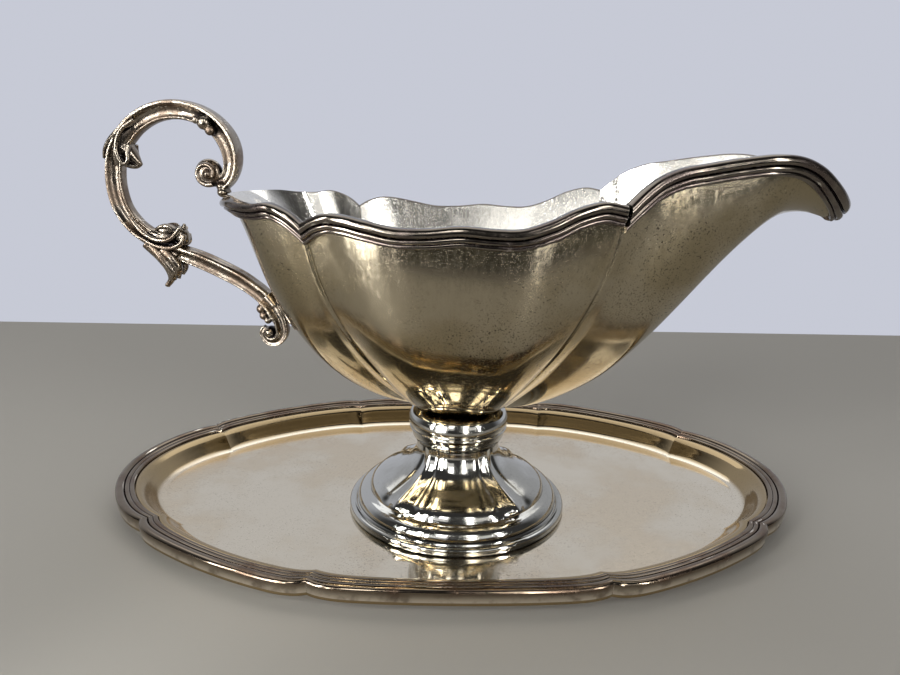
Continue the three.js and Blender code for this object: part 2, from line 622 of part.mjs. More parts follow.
const boat = new THREE.Group();
boat.position.set(BOAT_X, BOAT_Y, 0);
boat.rotation.z = BOAT_TURN;
boat.add(piece('bowl_body', bowlBody(), BOWL_SILVER));
const rimBackSide = rimLength(PANELS.side, 18);
boat.add(piece('rim_handle_end', rimLength(PANELS.back, 10, 0), RIM_SILVER));
boat.add(piece('rim_front_side', otherSide(rimBackSide), RIM_SILVER.clone()));
boat.add(piece('rim_back_side', rimBackSide, RIM_SILVER.clone()));
boat.add(piece('rim_spout', rimLength(PANELS.spout, 15, 1), RIM_SILVER.clone()));
boat.add(piece('stem_knop', turned(STEM, 32), FOOT_SILVER));
boat.add(piece('foot_skirt', footSkirt(), FOOT_SILVER.clone()));
boat.add(piece('foot_base', turned([...FOOT_BASE, FOOT_BASE[0]], 48), FOOT_SILVER.clone()));
const upper = upperScroll();
boat.add(piece('handle_upper_scroll', upper, HANDLE_SILVER));
boat.add(piece('handle_upper_leaf', upperLeaf([upper]), HANDLE_SILVER.clone()));
const stem = scroll(STEM_SCROLL, 10, () => [2.6, 3.6]);
const branch = scroll(BRANCH, 10, () => [2.6, 3.3]);
const curls = trimmed(acanthus(), [stem, branch], [GAP, 0, 0], [-GAP, 0, 0]);
const foot = trimmed(lowerScroll(), [branch], [GAP, 0, -GAP]);
boat.add(piece('handle_stem', stem, HANDLE_SILVER.clone()));
boat.add(piece('handle_acanthus', curls, HANDLE_SILVER.clone()));
boat.add(piece('handle_pendant_leaf', pendantLeaf([stem, curls, branch]), HANDLE_SILVER.clone()));
boat.add(piece('handle_branch', branch, HANDLE_SILVER.clone()));
boat.add(piece('handle_lower_scroll', foot, HANDLE_SILVER.clone()));
boat.add(piece('handle_bowl_leaf', bowlLeaf([branch, foot]), HANDLE_SILVER.clone()));

const sauceBoat = new THREE.Group();
sauceBoat.add(tray, boat);
export default sauceBoat;
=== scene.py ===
import math

import bmesh
import bpy
import numpy as np
from mathutils import Matrix, Vector


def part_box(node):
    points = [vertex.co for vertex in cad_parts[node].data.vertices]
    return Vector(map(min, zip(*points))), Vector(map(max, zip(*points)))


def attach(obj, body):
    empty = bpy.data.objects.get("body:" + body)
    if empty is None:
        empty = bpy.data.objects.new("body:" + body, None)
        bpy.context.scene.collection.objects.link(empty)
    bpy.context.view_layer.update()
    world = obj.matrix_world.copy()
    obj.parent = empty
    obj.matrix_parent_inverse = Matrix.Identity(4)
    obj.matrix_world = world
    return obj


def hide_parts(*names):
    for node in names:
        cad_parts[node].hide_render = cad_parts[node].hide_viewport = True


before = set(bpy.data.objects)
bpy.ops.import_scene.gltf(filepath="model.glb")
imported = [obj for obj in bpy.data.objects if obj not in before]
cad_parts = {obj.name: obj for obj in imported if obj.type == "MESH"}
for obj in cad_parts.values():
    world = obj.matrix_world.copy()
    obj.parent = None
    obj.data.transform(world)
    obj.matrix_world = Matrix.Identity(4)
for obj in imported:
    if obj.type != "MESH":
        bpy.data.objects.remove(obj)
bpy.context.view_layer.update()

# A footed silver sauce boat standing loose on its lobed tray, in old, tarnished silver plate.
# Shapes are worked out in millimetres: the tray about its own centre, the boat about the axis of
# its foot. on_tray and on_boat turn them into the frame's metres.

# ---------------- placing

MM = 0.001
BOAT_TURN = math.radians(-7.8)


def middle(node):
    """The middle of a node's box on plan."""
    low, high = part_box(node)
    return np.array([(low.x + high.x) / 2, (low.y + high.y) / 2, 0.0])


TRAY_CENTRE = middle("tray_plate")
FLOOR_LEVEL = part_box("tray_plate")[0].z
FOOT_CENTRE = middle("foot_base")


def on_tray(points):
    return np.asarray(points) * MM + TRAY_CENTRE + (0, 0, FLOOR_LEVEL)


def on_boat(points):
    points = np.asarray(points) * MM
    cos, sin = math.cos(BOAT_TURN), math.sin(BOAT_TURN)
    x = points[:, 0] * cos - points[:, 1] * sin
    y = points[:, 0] * sin + points[:, 1] * cos
    return np.stack([x, y, points[:, 2]], axis=1) + FOOT_CENTRE + (0, 0, FLOOR_LEVEL)


# ---------------- curves

def lerp(a, b, share):
    return a + (b - a) * share


def smoothstep(value, low, high):
    share = np.clip((value - low) / (high - low), 0, 1)
    return share * share * (3 - 2 * share)


def unit(vectors):
    return vectors / np.maximum(np.linalg.norm(vectors, axis=-1, keepdims=True), 1e-12)


class Curve:
    """A smooth curve through points, read by the share of its whole length. A closed one runs from
    its first point round to it again."""

    def __init__(self, points, closed=False):
        points = np.asarray(points, float)
        if closed:
            self.knots = np.vstack([points[-1], points, points[0], points[1]])
        else:
            self.knots = np.vstack([2 * points[0] - points[1], points, 2 * points[-1] - points[-2]])
        self.fine = np.linspace(0, 1, 801)
        steps = np.linalg.norm(np.diff(self.raw(self.fine), axis=0), axis=1)
        self.shares = np.concatenate([[0], np.cumsum(steps)]) / steps.sum()

    def raw(self, t):
        """Centripetal Catmull-Rom: t counts the spans between points evenly from 0 to 1."""
        spans = len(self.knots) - 3
        place = np.clip(t, 0, 1) * spans
        span = np.minimum(place.astype(int), spans - 1)
        w = (place - span)[:, None]
        a, b, c, d = (self.knots[span + k] for k in range(4))
        ab, bc, cd = (
            np.sqrt(np.maximum(np.linalg.norm(end - start, axis=1), 1e-6))[:, None]
            for start, end in ((a, b), (b, c), (c, d))
        )
        leave = ((b - a) / ab - (c - a) / (ab + bc) + (c - b) / bc) * bc
        arrive = ((c - b) / bc - (d - b) / (bc + cd) + (d - c) / cd) * bc
        bend = 3 * (c - b) - 2 * leave - arrive
        twist = 2 * (b - c) + leave + arrive
        return b + leave * w + bend * w**2 + twist * w**3

    def at(self, share):
        return self.raw(np.interp(np.atleast_1d(share), self.shares, self.fine))

    def direction(self, share):
        step = 0.002
        ahead = self.at(np.minimum(share + step, 1)) - self.at(np.maximum(share - step, 0))
        return unit(ahead)


def evened(points, count):
    """The same outline, open at its ends, with points evenly spaced along it."""
    points = np.asarray(points, float)
    gone = np.concatenate([[0], np.cumsum(np.linalg.norm(np.diff(points, axis=0), axis=1))])
    at = np.linspace(0, gone[-1], count)
    return np.stack([np.interp(at, gone, points[:, k]) for k in range(points.shape[1])], axis=1)


def through(points, count):
    """A smooth open outline through the points."""
    return Curve(points).at(np.linspace(0, 1, count))


def arc(centre, radius, start, end, count):
    """Points round part of a circle, angles in degrees."""
    angles = np.radians(np.linspace(start, end, count))
    return np.stack([centre[0] + radius * np.cos(angles), centre[1] + radius * np.sin(angles)], axis=1)


def mirrored(points):
    return np.asarray(points) * (1, -1, 1)


# ---------------- meshes

def skin(sections, closed_row=False):
    """Points and faces over a row of closed sections; an open row ends in flat caps."""
    sections = np.asarray(sections, float)
    rows, columns = sections.shape[:2]
    strips = rows if closed_row else rows - 1
    i, j = np.meshgrid(np.arange(strips), np.arange(columns), indexing="ij")
    here, ahead = i * columns, (i + 1) % rows * columns
    beside = (j + 1) % columns
    corners = [here + j, ahead + j, ahead + beside, here + beside]
    faces = np.stack(corners, axis=-1).reshape(-1, 4).tolist()
    if not closed_row:
        last = (rows - 1) * columns
        faces.append(list(range(columns))[::-1])
        faces.append(list(range(last, last + columns)))
    return sections.reshape(-1, 3), faces


def full_turn(steps):
    return np.linspace(0, 2 * math.pi, steps, endpoint=False)


def ring(radius, height, angles):
    """A level ring about the axis; the radius may vary round it."""
    return np.stack([radius * np.cos(angles), radius * np.sin(angles), np.full(len(angles), height)], axis=1)


def lathe(profile, steps):
    """A closed profile of [radius, height] turned about the axis."""
    return skin([ring(r, z, full_turn(steps)) for r, z in profile], closed_row=True)


def joined(forms):
    """Several forms as one set of points and faces."""
    points, faces, first = [], [], 0
    for form_points, form_faces in forms:
        points.append(form_points)
        faces += [[first + corner for corner in face] for face in form_faces]
        first += len(form_points)
    return np.vstack(points), faces


def linked(name, data):
    """A new object in the scene that holds a mesh, a lamp or a camera."""
    item = bpy.data.objects.new(name, data)
    bpy.context.scene.collection.objects.link(item)
    return item


WELD = 2e-7


def closed_mesh(name, points, faces, welded):
    """A mesh with its faces turned outwards; welding makes corners that coincide one."""
    mesh = bpy.data.meshes.new(name)
    mesh.from_pydata(points.tolist(), [], faces)
    work = bmesh.new()
    work.from_mesh(mesh)
    if welded:
        bmesh.ops.remove_doubles(work, verts=work.verts, dist=WELD)
    bmesh.ops.recalc_face_normals(work, faces=work.faces)
    work.to_mesh(mesh)
    work.free()
    return mesh


def build(name, form, place, material, body, node, crease=35):
    """A piece from a form in millimetres, which place turns into the frame's metres."""
    points, faces = form
    piece = linked(name, closed_mesh(name, place(points), faces, welded=True))
    dress(piece, material, body, node, crease)


def dress(piece, material, body, node, crease):
    """Makes a piece smooth up to an edge angle, stand for its CAD node and ride on its body."""
    piece.data.materials.clear()
    piece.data.materials.append(material)
    piece.data.shade_smooth()
    piece.data.set_sharp_from_angle(angle=math.radians(crease))
    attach(piece, body)
    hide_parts(node)


VOXEL = 0.19 * MM
SOFTENING = 3
NO_SHARP_EDGES = 180


def cast(name, forms, material, node):
    """A casting of the boat: overlapping forms fused into one closed skin and softened a little."""
    points, faces = joined(forms)
    mesh = closed_mesh(name + "_pattern", on_boat(points), faces, welded=False)
    pattern = linked(name + "_pattern", mesh)
    fuse = pattern.modifiers.new("fuse", "REMESH")
    fuse.mode = "VOXEL"
    fuse.voxel_size = VOXEL
    soften = pattern.modifiers.new("soften", "SMOOTH")
    soften.factor = 0.5
    soften.iterations = SOFTENING
    bpy.context.view_layer.update()
    evaluated = pattern.evaluated_get(bpy.context.evaluated_depsgraph_get())
    fused = bpy.data.meshes.new_from_object(evaluated)
    bpy.data.objects.remove(pattern)
    bpy.data.meshes.remove(mesh)
    fused.name = name
    dress(linked(name, fused), material, "boat", node, NO_SHARP_EDGES)


# ---------------- materials

# Sockets of a colour Mix node.
MIX_SHARE, MIX_A, MIX_B = 0, 6, 7


class Nodes:
    """A node tree, with short calls for the few kinds used here."""

    def __init__(self, tree):
        self.tree = tree

    def new(self, kind, **settings):
        node = self.tree.nodes.new(kind)
        for key, value in settings.items():
            setattr(node, key, value)
        return node

    def put(self, value, socket):
        if isinstance(value, bpy.types.NodeSocket):
            self.tree.links.new(value, socket)
        else:
            socket.default_value = value

    def ranged(self, value, low, high, first=0.0, last=1.0):
        """Eases from first to last while the value goes from low to high."""
        node = self.new("ShaderNodeMapRange", interpolation_type="SMOOTHSTEP")
        for key, number in (("From Min", low), ("From Max", high), ("To Min", first), ("To Max", last)):
            node.inputs[key].default_value = number
        self.put(value, node.inputs["Value"])
        return node.outputs[0]

    def mix(self, share, a, b):
        node = self.new("ShaderNodeMix", data_type="RGBA")
        self.put(share, node.inputs[MIX_SHARE])
        self.put(a, node.inputs[MIX_A])
        self.put(b, node.inputs[MIX_B])
        return node.outputs[2]


class Shader(Nodes):
    """A material's nodes. Lengths are in mm."""

    def __init__(self, name):
        self.material = bpy.data.materials.new(name)
        self.material.use_nodes = True
        super().__init__(self.material.node_tree)
        self.surface = self.tree.nodes["Principled BSDF"]
        self.place = self.new("ShaderNodeTexCoord")
        self.mm = self.scaled(self.place.outputs["Object"], (1 / MM, 1 / MM, 1 / MM))

    def scaled(self, vector, factors):
        node = self.new("ShaderNodeVectorMath", operation="MULTIPLY")
        self.put(vector, node.inputs[0])
        self.put(factors, node.inputs[1])
        return node.outputs[0]

    def math(self, operation, a, b):
        node = self.new("ShaderNodeMath", operation=operation)
        self.put(a, node.inputs[0])
        self.put(b, node.inputs[1])
        return node.outputs[0]

    def noise(self, size, detail, shift=0.0, stretch=(1, 1, 1), rough=0.55):
        """Cloudy noise from 0 to 1 with features about size mm across; shift picks another part."""
        vector = self.scaled(self.mm, tuple(1 / (size * factor) for factor in stretch))
        moved = self.new("ShaderNodeVectorMath", operation="ADD")
        self.put(vector, moved.inputs[0])
        self.put((shift, shift, shift), moved.inputs[1])
        node = self.new("ShaderNodeTexNoise")
        self.put(moved.outputs[0], node.inputs["Vector"])
        node.inputs["Scale"].default_value = 1.0
        node.inputs["Detail"].default_value = detail
        node.inputs["Roughness"].default_value = rough
        return node.outputs[0]

    def openness(self, distance):
        """0 in tight recesses, 1 in the open."""
        node = self.new("ShaderNodeAmbientOcclusion", samples=8, only_local=True)
        node.inputs["Distance"].default_value = distance * MM
        return node.outputs["AO"]

    def sharpness(self):
        """Above 0.5 on outer edges, below it in creases."""
        return self.new("ShaderNodeNewGeometry").outputs["Pointiness"]

    def level(self):
        """How high the surface stands in the frame, in mm."""
        split = self.new("ShaderNodeSeparateXYZ")
        self.put(self.mm, split.inputs[0])
        return split.outputs["Z"]

    def facing(self, point):
        """1 on faces turned towards the point, 0 on faces turned away."""
        towards = self.new("ShaderNodeVectorMath", operation="SUBTRACT")
        self.put(point, towards.inputs[0])
        self.put(self.mm, towards.inputs[1])
        turned = self.new("ShaderNodeVectorMath", operation="DOT_PRODUCT")
        self.put(towards.outputs[0], turned.inputs[0])
        self.put(self.place.outputs["Normal"], turned.inputs[1])
        return self.math("GREATER_THAN", turned.outputs["Value"], 0.0)

    def bumped(self, height):
        """Height in mm, as a bump on the surface."""
        node = self.new("ShaderNodeBump")
        node.inputs["Distance"].default_value = MM
        node.inputs["Strength"].default_value = 1.0
        self.put(height, node.inputs["Height"])
        self.put(node.outputs[0], self.surface.inputs["Normal"])


def rgb(red, green, blue):
    return (red, green, blue, 1.0)


# Smooth noise keeps mostly to the middle quarter of its range.
NOISE_SPAN = 0.25
PIT_DEPTH = 0.02


class Silver(Shader):
    """Old silver plate, built up in layers. Each may change the colour, the dulling that becomes
    roughness, and the height of the surface."""

    def __init__(self, name, clean, tarnish, deep, cloud, waves, grain):
        """Clean silver with clouds of tarnish, over long waves (length, depth) and a fine grain.
        The deep tarnish is for pits and recesses."""
        super().__init__(name)
        self.tarnish = tarnish
        self.deep = deep
        self.grain = grain
        clouds = self.ranged(self.noise(cloud, 5), 0.42, 0.62)
        self.fine = self.noise(1.6, 4, shift=7)
        self.colour = self.mix(clouds, clean, tarnish)
        self.dulling = self.math("MULTIPLY", clouds, 0.55)
        self.dull("ADD", self.ranged(self.fine, 0.35, 0.75, last=0.3))
        wave_length, wave_depth = waves
        self.height = self.math("MULTIPLY", self.noise(wave_length, 1, shift=3), wave_depth / NOISE_SPAN)
        self.raised(self.noise(0.5, 3, shift=11), grain)

    def tinted(self, share, colour):
        self.colour = self.mix(share, self.colour, colour)

    def dull(self, operation, amount):
        self.dulling = self.math(operation, self.dulling, amount)

    def raised(self, pattern, depth):
        self.height = self.math("ADD", self.height, self.math("MULTIPLY", pattern, depth))

    def streaked(self, stretch):
        """Long lines left by polishing."""
        lines = self.noise(1, 3, shift=5, stretch=stretch, rough=0.7)
        self.tinted(self.ranged(lines, 0.3, 0.7, last=0.1), self.tarnish)
        self.dull("ADD", self.ranged(lines, 0.35, 0.7, last=0.35))
        self.raised(lines, self.grain * 2)

    def painted_reflection_between(self, low, high, reflected_colour):
        """A painted reflection: another colour that comes in between two heights."""
        self.tinted(self.ranged(self.level(), low, high), reflected_colour)

    def painted_light_towards(self, point, colour):
        """Painted light: another colour on the faces that look towards a point, as on a vessel's inside."""
        self.tinted(self.facing(point), colour)

    def pitted(self, amount):
        """Fine black specks in loose crowds."""
        crowded = self.ranged(self.noise(26, 3, shift=19), 0.32, 0.6)
        specks = self.ranged(self.noise(0.5, 2, shift=23, rough=0.65), 0.58, 0.67)
        specks = self.math("MULTIPLY", specks, self.math("MULTIPLY", crowded, amount))
        self.tinted(specks, self.deep)
        self.dull("ADD", self.math("MULTIPLY", specks, 0.7))
        self.raised(specks, -PIT_DEPTH)

    def sheltered(self, distance, low, high):
        """Deep tarnish in the recesses that polishing can't reach. In shallow creases, as on the bowl's
        folds, it is painted shade as well.
        """
        recess = self.ranged(self.openness(distance), low, high, first=1.0, last=0.0)
        recess = self.math("MULTIPLY", recess, self.ranged(self.fine, 0.2, 0.6, first=0.7))
        self.tinted(recess, self.deep)
        self.dull("ADD", self.math("MULTIPLY", recess, 0.5))

    def worn(self, low, high, bright):
        """Edges kept bright by handling."""
        edges = self.ranged(self.sharpness(), low, high)
        patches = self.ranged(self.noise(5, 3, shift=31), 0.3, 0.55, first=0.25)
        rubbed = self.math("MULTIPLY", edges, patches)
        self.tinted(rubbed, bright)
        self.dull("MULTIPLY", self.math("SUBTRACT", 1.0, self.math("MULTIPLY", rubbed, 0.7)))

    def finished(self, least, most, satin=0.0, polished=None):
        """Roughness runs from least to most. Satin draws reflections out across its grain, and
        below the polished span of heights the surface is four times as smooth as above it."""
        roughness = self.ranged(self.dulling, 0.0, 1.0, first=least, last=most)
        if polished:
            smoother = self.ranged(self.level(), *polished, first=0.25)
            roughness = self.math("MULTIPLY", roughness, smoother)
        self.put(self.colour, self.surface.inputs["Base Color"])
        self.put(roughness, self.surface.inputs["Roughness"])
        self.surface.inputs["Metallic"].default_value = 1.0
        self.surface.inputs["Anisotropic"].default_value = satin
        self.surface.inputs["Anisotropic Rotation"].default_value = 0.25
        self.bumped(self.height)
        return self.material


def tray_silver():
    """Pale, lightly clouded plate, with a browner reflection painted on where the wall rises from the well.
    """
    s = Silver(
        "well_silver", rgb(0.79, 0.71, 0.57), rgb(0.70, 0.60, 0.45), rgb(0.05, 0.04, 0.035),
        cloud=42, waves=(30, 0.012), grain=0.003,
    )
    # Painted reflection: browner from just above the well upwards, over the wall.
    s.painted_reflection_between(1.27, 2.4, rgb(0.36, 0.27, 0.15))
    s.pitted(0.35)
    return s.finished(0.07, 0.26)


def border_silver():
    """Dark in the grooves between the reeds and bright along their tops."""
    s = Silver(
        "border_silver", rgb(0.21, 0.17, 0.125), rgb(0.145, 0.10, 0.07), rgb(0.06, 0.04, 0.035),
        cloud=14, waves=(6, 0.02), grain=0.006,
    )
    s.sheltered(1.6, 0.45, 0.8)
    s.worn(0.52, 0.6, rgb(0.86, 0.78, 0.66))
    return s.finished(0.10, 0.32)


def bowl_silver():
    """Satin and pitted outside and polished low down, with a painted golden reflection there, and painted
    light on the faces turned towards a point above it, mostly inside.
    """
    above_bowl = (40, 0, 300)
    s = Silver(
        "bowl_silver", rgb(0.46, 0.40, 0.29), rgb(0.36, 0.30, 0.19), rgb(0.04, 0.035, 0.025),
        cloud=30, waves=(27, 0.04), grain=0.002,
    )
    s.streaked((1, 1, 9))
    # Painted reflection of the golden tray: full below 46 mm, fading out by 62 mm.
    s.painted_reflection_between(62, 46, rgb(0.42, 0.33, 0.19))
    # Painted light: pale on the faces turned towards a point above the bowl, which are mostly inside it.
    s.painted_light_towards(above_bowl, rgb(0.90, 0.87, 0.80))
    s.pitted(1.0)
    # In the creases of the bowl's folds this dark is painted shade as well as tarnish.
    s.sheltered(1.3, 0.55, 0.9)
    return s.finished(0.11, 0.22, satin=0.95, polished=(58, 74))


def rim_silver():
    """As the border, and a little darker."""
    s = Silver(
        "rim_silver", rgb(0.19, 0.165, 0.135), rgb(0.125, 0.10, 0.088), rgb(0.05, 0.035, 0.04),
        cloud=12, waves=(6, 0.015), grain=0.005,
    )
    s.sheltered(1.4, 0.45, 0.8)
    s.worn(0.52, 0.6, rgb(0.72, 0.68, 0.60))
    return s.finished(0.12, 0.32)


def foot_silver():
    """The brightest part, dark only between its mouldings."""
    s = Silver(
        "foot_silver", rgb(0.56, 0.555, 0.52), rgb(0.42, 0.41, 0.37), rgb(0.06, 0.045, 0.035),
        cloud=22, waves=(10, 0.018), grain=0.003,
    )
    s.pitted(0.25)
    s.sheltered(2.2, 0.4, 0.85)
    return s.finished(0.05, 0.18)


def handle_silver():
    """A rough casting, black in its recesses and rubbed bright on its edges."""
    s = Silver(
        "handle_silver", rgb(0.33, 0.285, 0.23), rgb(0.20, 0.15, 0.11), rgb(0.025, 0.022, 0.024),
        cloud=8, waves=(4, 0.03), grain=0.016,
    )
    s.pitted(0.7)
    s.sheltered(3.0, 0.5, 1.0)
    s.worn(0.515, 0.6, rgb(0.78, 0.71, 0.60))
    return s.finished(0.16, 0.42)


# ---------------- tray

# A lobe bulges beyond the straight line between its notches. Its ear is the part of the bulge that
# rises steeply at the notches, and it shrinks by a share of a millimetre per millimetre of inset.
END_NOTCH = {"x": 95.8, "y": 38.0, "mitre": (0.70, 0.71)}
SIDE_NOTCH = {"x": 40.5, "y": 68.6, "mitre": (0.20, 0.98)}
END_LOBE = {"bulge": 19.4, "ear": 3.0, "shrink": 0.28}
CORNER_LOBE = {"bulge": 5.9, "ear": 2.6, "shrink": 0.043}
SIDE_LOBE = {"bulge": 4.4, "ear": 2.4, "shrink": 0.02}
EAR_FADE = 18
EAR_LOSS = 0.75
EAR_SHARPNESS = 10
BORDER_WIDTH = 5.9
BORDER_BEADS = [(1.38, 1.38, 8.75), (3.6, 0.78, 8.25), (5.1, 0.78, 8.05)]
GROOVE_Z = 7.55
FLANGE_TOP = 5.0
WELL_TOP = 1.25
LOBE_STEPS = 56
MITRE_GAP = 0.05

# Lobes in order round the tray, each from one notch to the next.
LOBES = [
    ("right_end", END_LOBE, (END_NOTCH, 1, -1), (END_NOTCH, 1, 1)),
    ("back_right", CORNER_LOBE, (END_NOTCH, 1, 1), (SIDE_NOTCH, 1, 1)),
    ("back_middle", SIDE_LOBE, (SIDE_NOTCH, 1, 1), (SIDE_NOTCH, -1, 1)),
    ("back_left", CORNER_LOBE, (SIDE_NOTCH, -1, 1), (END_NOTCH, -1, 1)),
    ("left_end", END_LOBE, (END_NOTCH, -1, 1), (END_NOTCH, -1, -1)),
    ("front_left", CORNER_LOBE, (END_NOTCH, -1, -1), (SIDE_NOTCH, -1, -1)),
    ("front_middle", SIDE_LOBE, (SIDE_NOTCH, -1, -1), (SIDE_NOTCH, 1, -1)),
    ("front_right", CORNER_LOBE, (SIDE_NOTCH, 1, -1), (END_NOTCH, 1, -1)),
]


def notch(corner, inset):
    """The corner between two lobes, moved in along its mitre."""
    kind, side_x, side_y = corner
    mitre_x, mitre_y = kind["mitre"]
    return np.array([side_x * (kind["x"] - inset * mitre_x), side_y * (kind["y"] - inset * mitre_y)])


def lobe_line(lobe, t, inset, height):
    """Points along a lobe at inset mm inside the tray's outline; t runs from -1 to 1."""
    _, kind, start, end = lobe
    start, end = notch(start, inset), notch(end, inset)
    along = end - start
    outward = np.array([along[1], -along[0]]) / np.linalg.norm(along)
    ear = kind["ear"] * (1 - EAR_LOSS * min(1, inset / EAR_FADE))
    swell = kind["bulge"] - kind["shrink"] * inset - ear
    offset = swell * (1 - t**2) + ear * (1 - np.abs(t) ** EAR_SHARPNESS)
    flat = start + np.outer((t + 1) / 2, along) + np.outer(offset, outward)
    return np.column_stack([flat, np.full(len(t), height)])


def lobe_spread(steps):
    """Shares along a lobe, closer together near its notches."""
    return -np.cos(np.pi * np.linspace(0, 1, steps + 1))


def tray_plate():
    """Well, wall, flange under the border, and back underneath, as [inset, height]."""
    wall = through(
        [[15.2, WELL_TOP], [14.2, 1.3], [12.8, 1.8], [10.8, 3.9], [8.8, 6.3], [7.4, 7.2], [6.4, 7.3]], 30,
    )
    flange = [[6.2, 7.2], [6.2, FLANGE_TOP], [0.5, FLANGE_TOP], [0.5, 4.0]]
    underside = through([[6.4, 4.0], [8.3, 4.4], [10.6, 2.2], [12.6, 0.35], [14.2, 0]], 20)
    profile = [[20, WELL_TOP], *wall, *flange, *underside, [20, 0]]
    t = lobe_spread(LOBE_STEPS)[:-1]
    rings = [np.vstack([lobe_line(lobe, t, inset, z) for lobe in LOBES]) for inset, z in profile]
    # The flat well and bottom are rings that close in on the middle.
    inwards = [(share, share, 1) for share in (0.9, 0.6, 0.3, 0.03)]
    well = [rings[0] * share for share in reversed(inwards)]
    bottom = [rings[-1] * share for share in inwards]
    return skin([*well, *rings, *bottom])


def beads(rows, low, high, floor, fullness=2.4):
    """Reeded moulding as [across, height]: beads of (centre, half width, top) standing on a floor."""
    across = np.linspace(low, high, 900)
    height = np.full(len(across), float(floor))
    for centre, half, top in rows:
        share = np.clip(np.abs(across - centre) / half, 0, 1)
        height = np.maximum(height, floor + (top - floor) * (1 - share**fullness) ** (1 / fullness))
    return np.stack([across, height], axis=1)


def tray_border(lobe):
    """One length of reeded border, mitred where it meets the next lobe's."""
    top = beads(BORDER_BEADS, 0, BORDER_WIDTH, GROOVE_Z)
    section = [[0.25, FLANGE_TOP], *evened(top, 64), [BORDER_WIDTH, FLANGE_TOP]]
    _, _, start, end = lobe
    trim = 1 - MITRE_GAP / np.linalg.norm(notch(end, 0) - notch(start, 0))
    t = lobe_spread(LOBE_STEPS) * trim
    lines = [lobe_line(lobe, t, inset, z) for inset, z in section]
    return skin(np.stack(lines, axis=1))


build("tray_plate_fine", tray_plate(), on_tray, tray_silver(), "tray", "tray_plate")
reeded = border_silver()
for lobe in LOBES:
    node = "tray_border_" + lobe[0]
    build(node + "_fine", tray_border(lobe), on_tray, reeded, "tray", node)

# ---------------- bowl

# The folds come down to a small flat oval, CREASE_ANGLE round from its two ends. An end panel's
# base follows the keel for the share ON_KEEL, and the oval from there to the fold.
WALL = 1.3
BASE_LENGTH = 14
BASE_BREADTH = 7.5
BASE_Z = 35.6
CREASE_ANGLE = math.radians(35)
CREASE_DEPTH = 0.6
CREASE_WIDTH = 0.65
ON_KEEL = 0.92

# Rim points from the handle end to the spout, as [x, y, z], and keel points, as [x, z].
RIM_BACK = [
    [-74.2, 0, 102.2], [-72.6, 9.5, 102.4], [-67.0, 19.5, 102.9], [-60.9, 25.6, 102.2], [-55.6, 28.9, 102.1],
    [-50.8, 30.9, 102.7], [-46.4, 31.9, 101.4], [-43.2, 32.2, 99.5], [-40.8, 32.3, 97.4],
]
RIM_SIDE = [
    [-40.8, 32.3, 97.4], [-37.4, 33.6, 99.4], [-33.0, 35.2, 100.6], [-28.5, 36.4, 100.4], [-22.0, 37.6, 99.2],
    [-14.0, 38.5, 97.8], [-6.0, 39.0, 97.9], [3.5, 39.2, 98.8], [12.0, 38.9, 98.3], [19.0, 38.5, 98.5],
    [26.0, 37.8, 100.8], [33.0, 36.9, 104.2], [39.5, 35.9, 105.8], [44.8, 35.0, 105.0],
]
RIM_SPOUT = [
    [44.8, 35.0, 105.0], [48.2, 33.4, 108.4], [52.4, 31.6, 111.7], [58.0, 29.6, 114.2], [65.5, 27.0, 115.7],
    [75.0, 24.2, 117.3], [84.0, 21.8, 118.3], [90.6, 19.4, 117.8], [96.8, 16.2, 115.5], [101.8, 12.8, 112.1],
    [105.6, 9.2, 108.9], [108.3, 4.9, 106.2], [109.2, 0, 105.2],
]
KEEL_BACK = [
    [-67.6, 97.0], [-66.0, 88.6], [-63.6, 79.6], [-59.6, 71.0], [-53.6, 60.6], [-46.0, 51.6], [-37.0, 43.2],
    [-25.0, 37.4], [-BASE_LENGTH, BASE_Z],
]
KEEL_SPOUT = [
    [BASE_LENGTH, BASE_Z], [26.4, 38.4], [43.0, 47.4], [52.8, 57.2], [59.4, 65.6], [64.6, 73.0], [69.8, 80.6],
    [75.4, 88.2], [81.2, 95.0], [87.2, 99.7], [94.0, 102.2], [100.6, 102.6], [105.8, 101.3],
]


# The end rims run round from fold to fold.
BACK_RIM = Curve(np.vstack([mirrored(RIM_BACK)[::-1], RIM_BACK[1:]]))
SIDE_RIM = Curve(RIM_SIDE)
SPOUT_RIM = Curve(np.vstack([mirrored(RIM_SPOUT), RIM_SPOUT[-2::-1]]))
BACK_KEEL = Curve([[x, 0, z] for x, z in KEEL_BACK])
SPOUT_KEEL = Curve([[x, 0, z] for x, z in KEEL_SPOUT])


def on_base(angle):
    """Points on the small flat oval under the bowl."""
    x, y = BASE_LENGTH * np.cos(angle), BASE_BREADTH * np.sin(angle)
    return np.stack([x, y, np.full(len(angle), BASE_Z)], axis=1)


def end_base(keel, end_angle, way, q):
    """Down a keel for the first part of an end panel, then one way round the oval to the fold."""
    k = np.clip(q / ON_KEEL, 0, 1)
    close_at_top = k * k * (2 - k)
    turn = CREASE_ANGLE * np.clip((q - ON_KEEL) / (1 - ON_KEEL), 0, 1)
    round_oval = on_base(end_angle + way * turn)
    return np.where((q < ON_KEEL)[:, None], keel(close_at_top), round_oval)


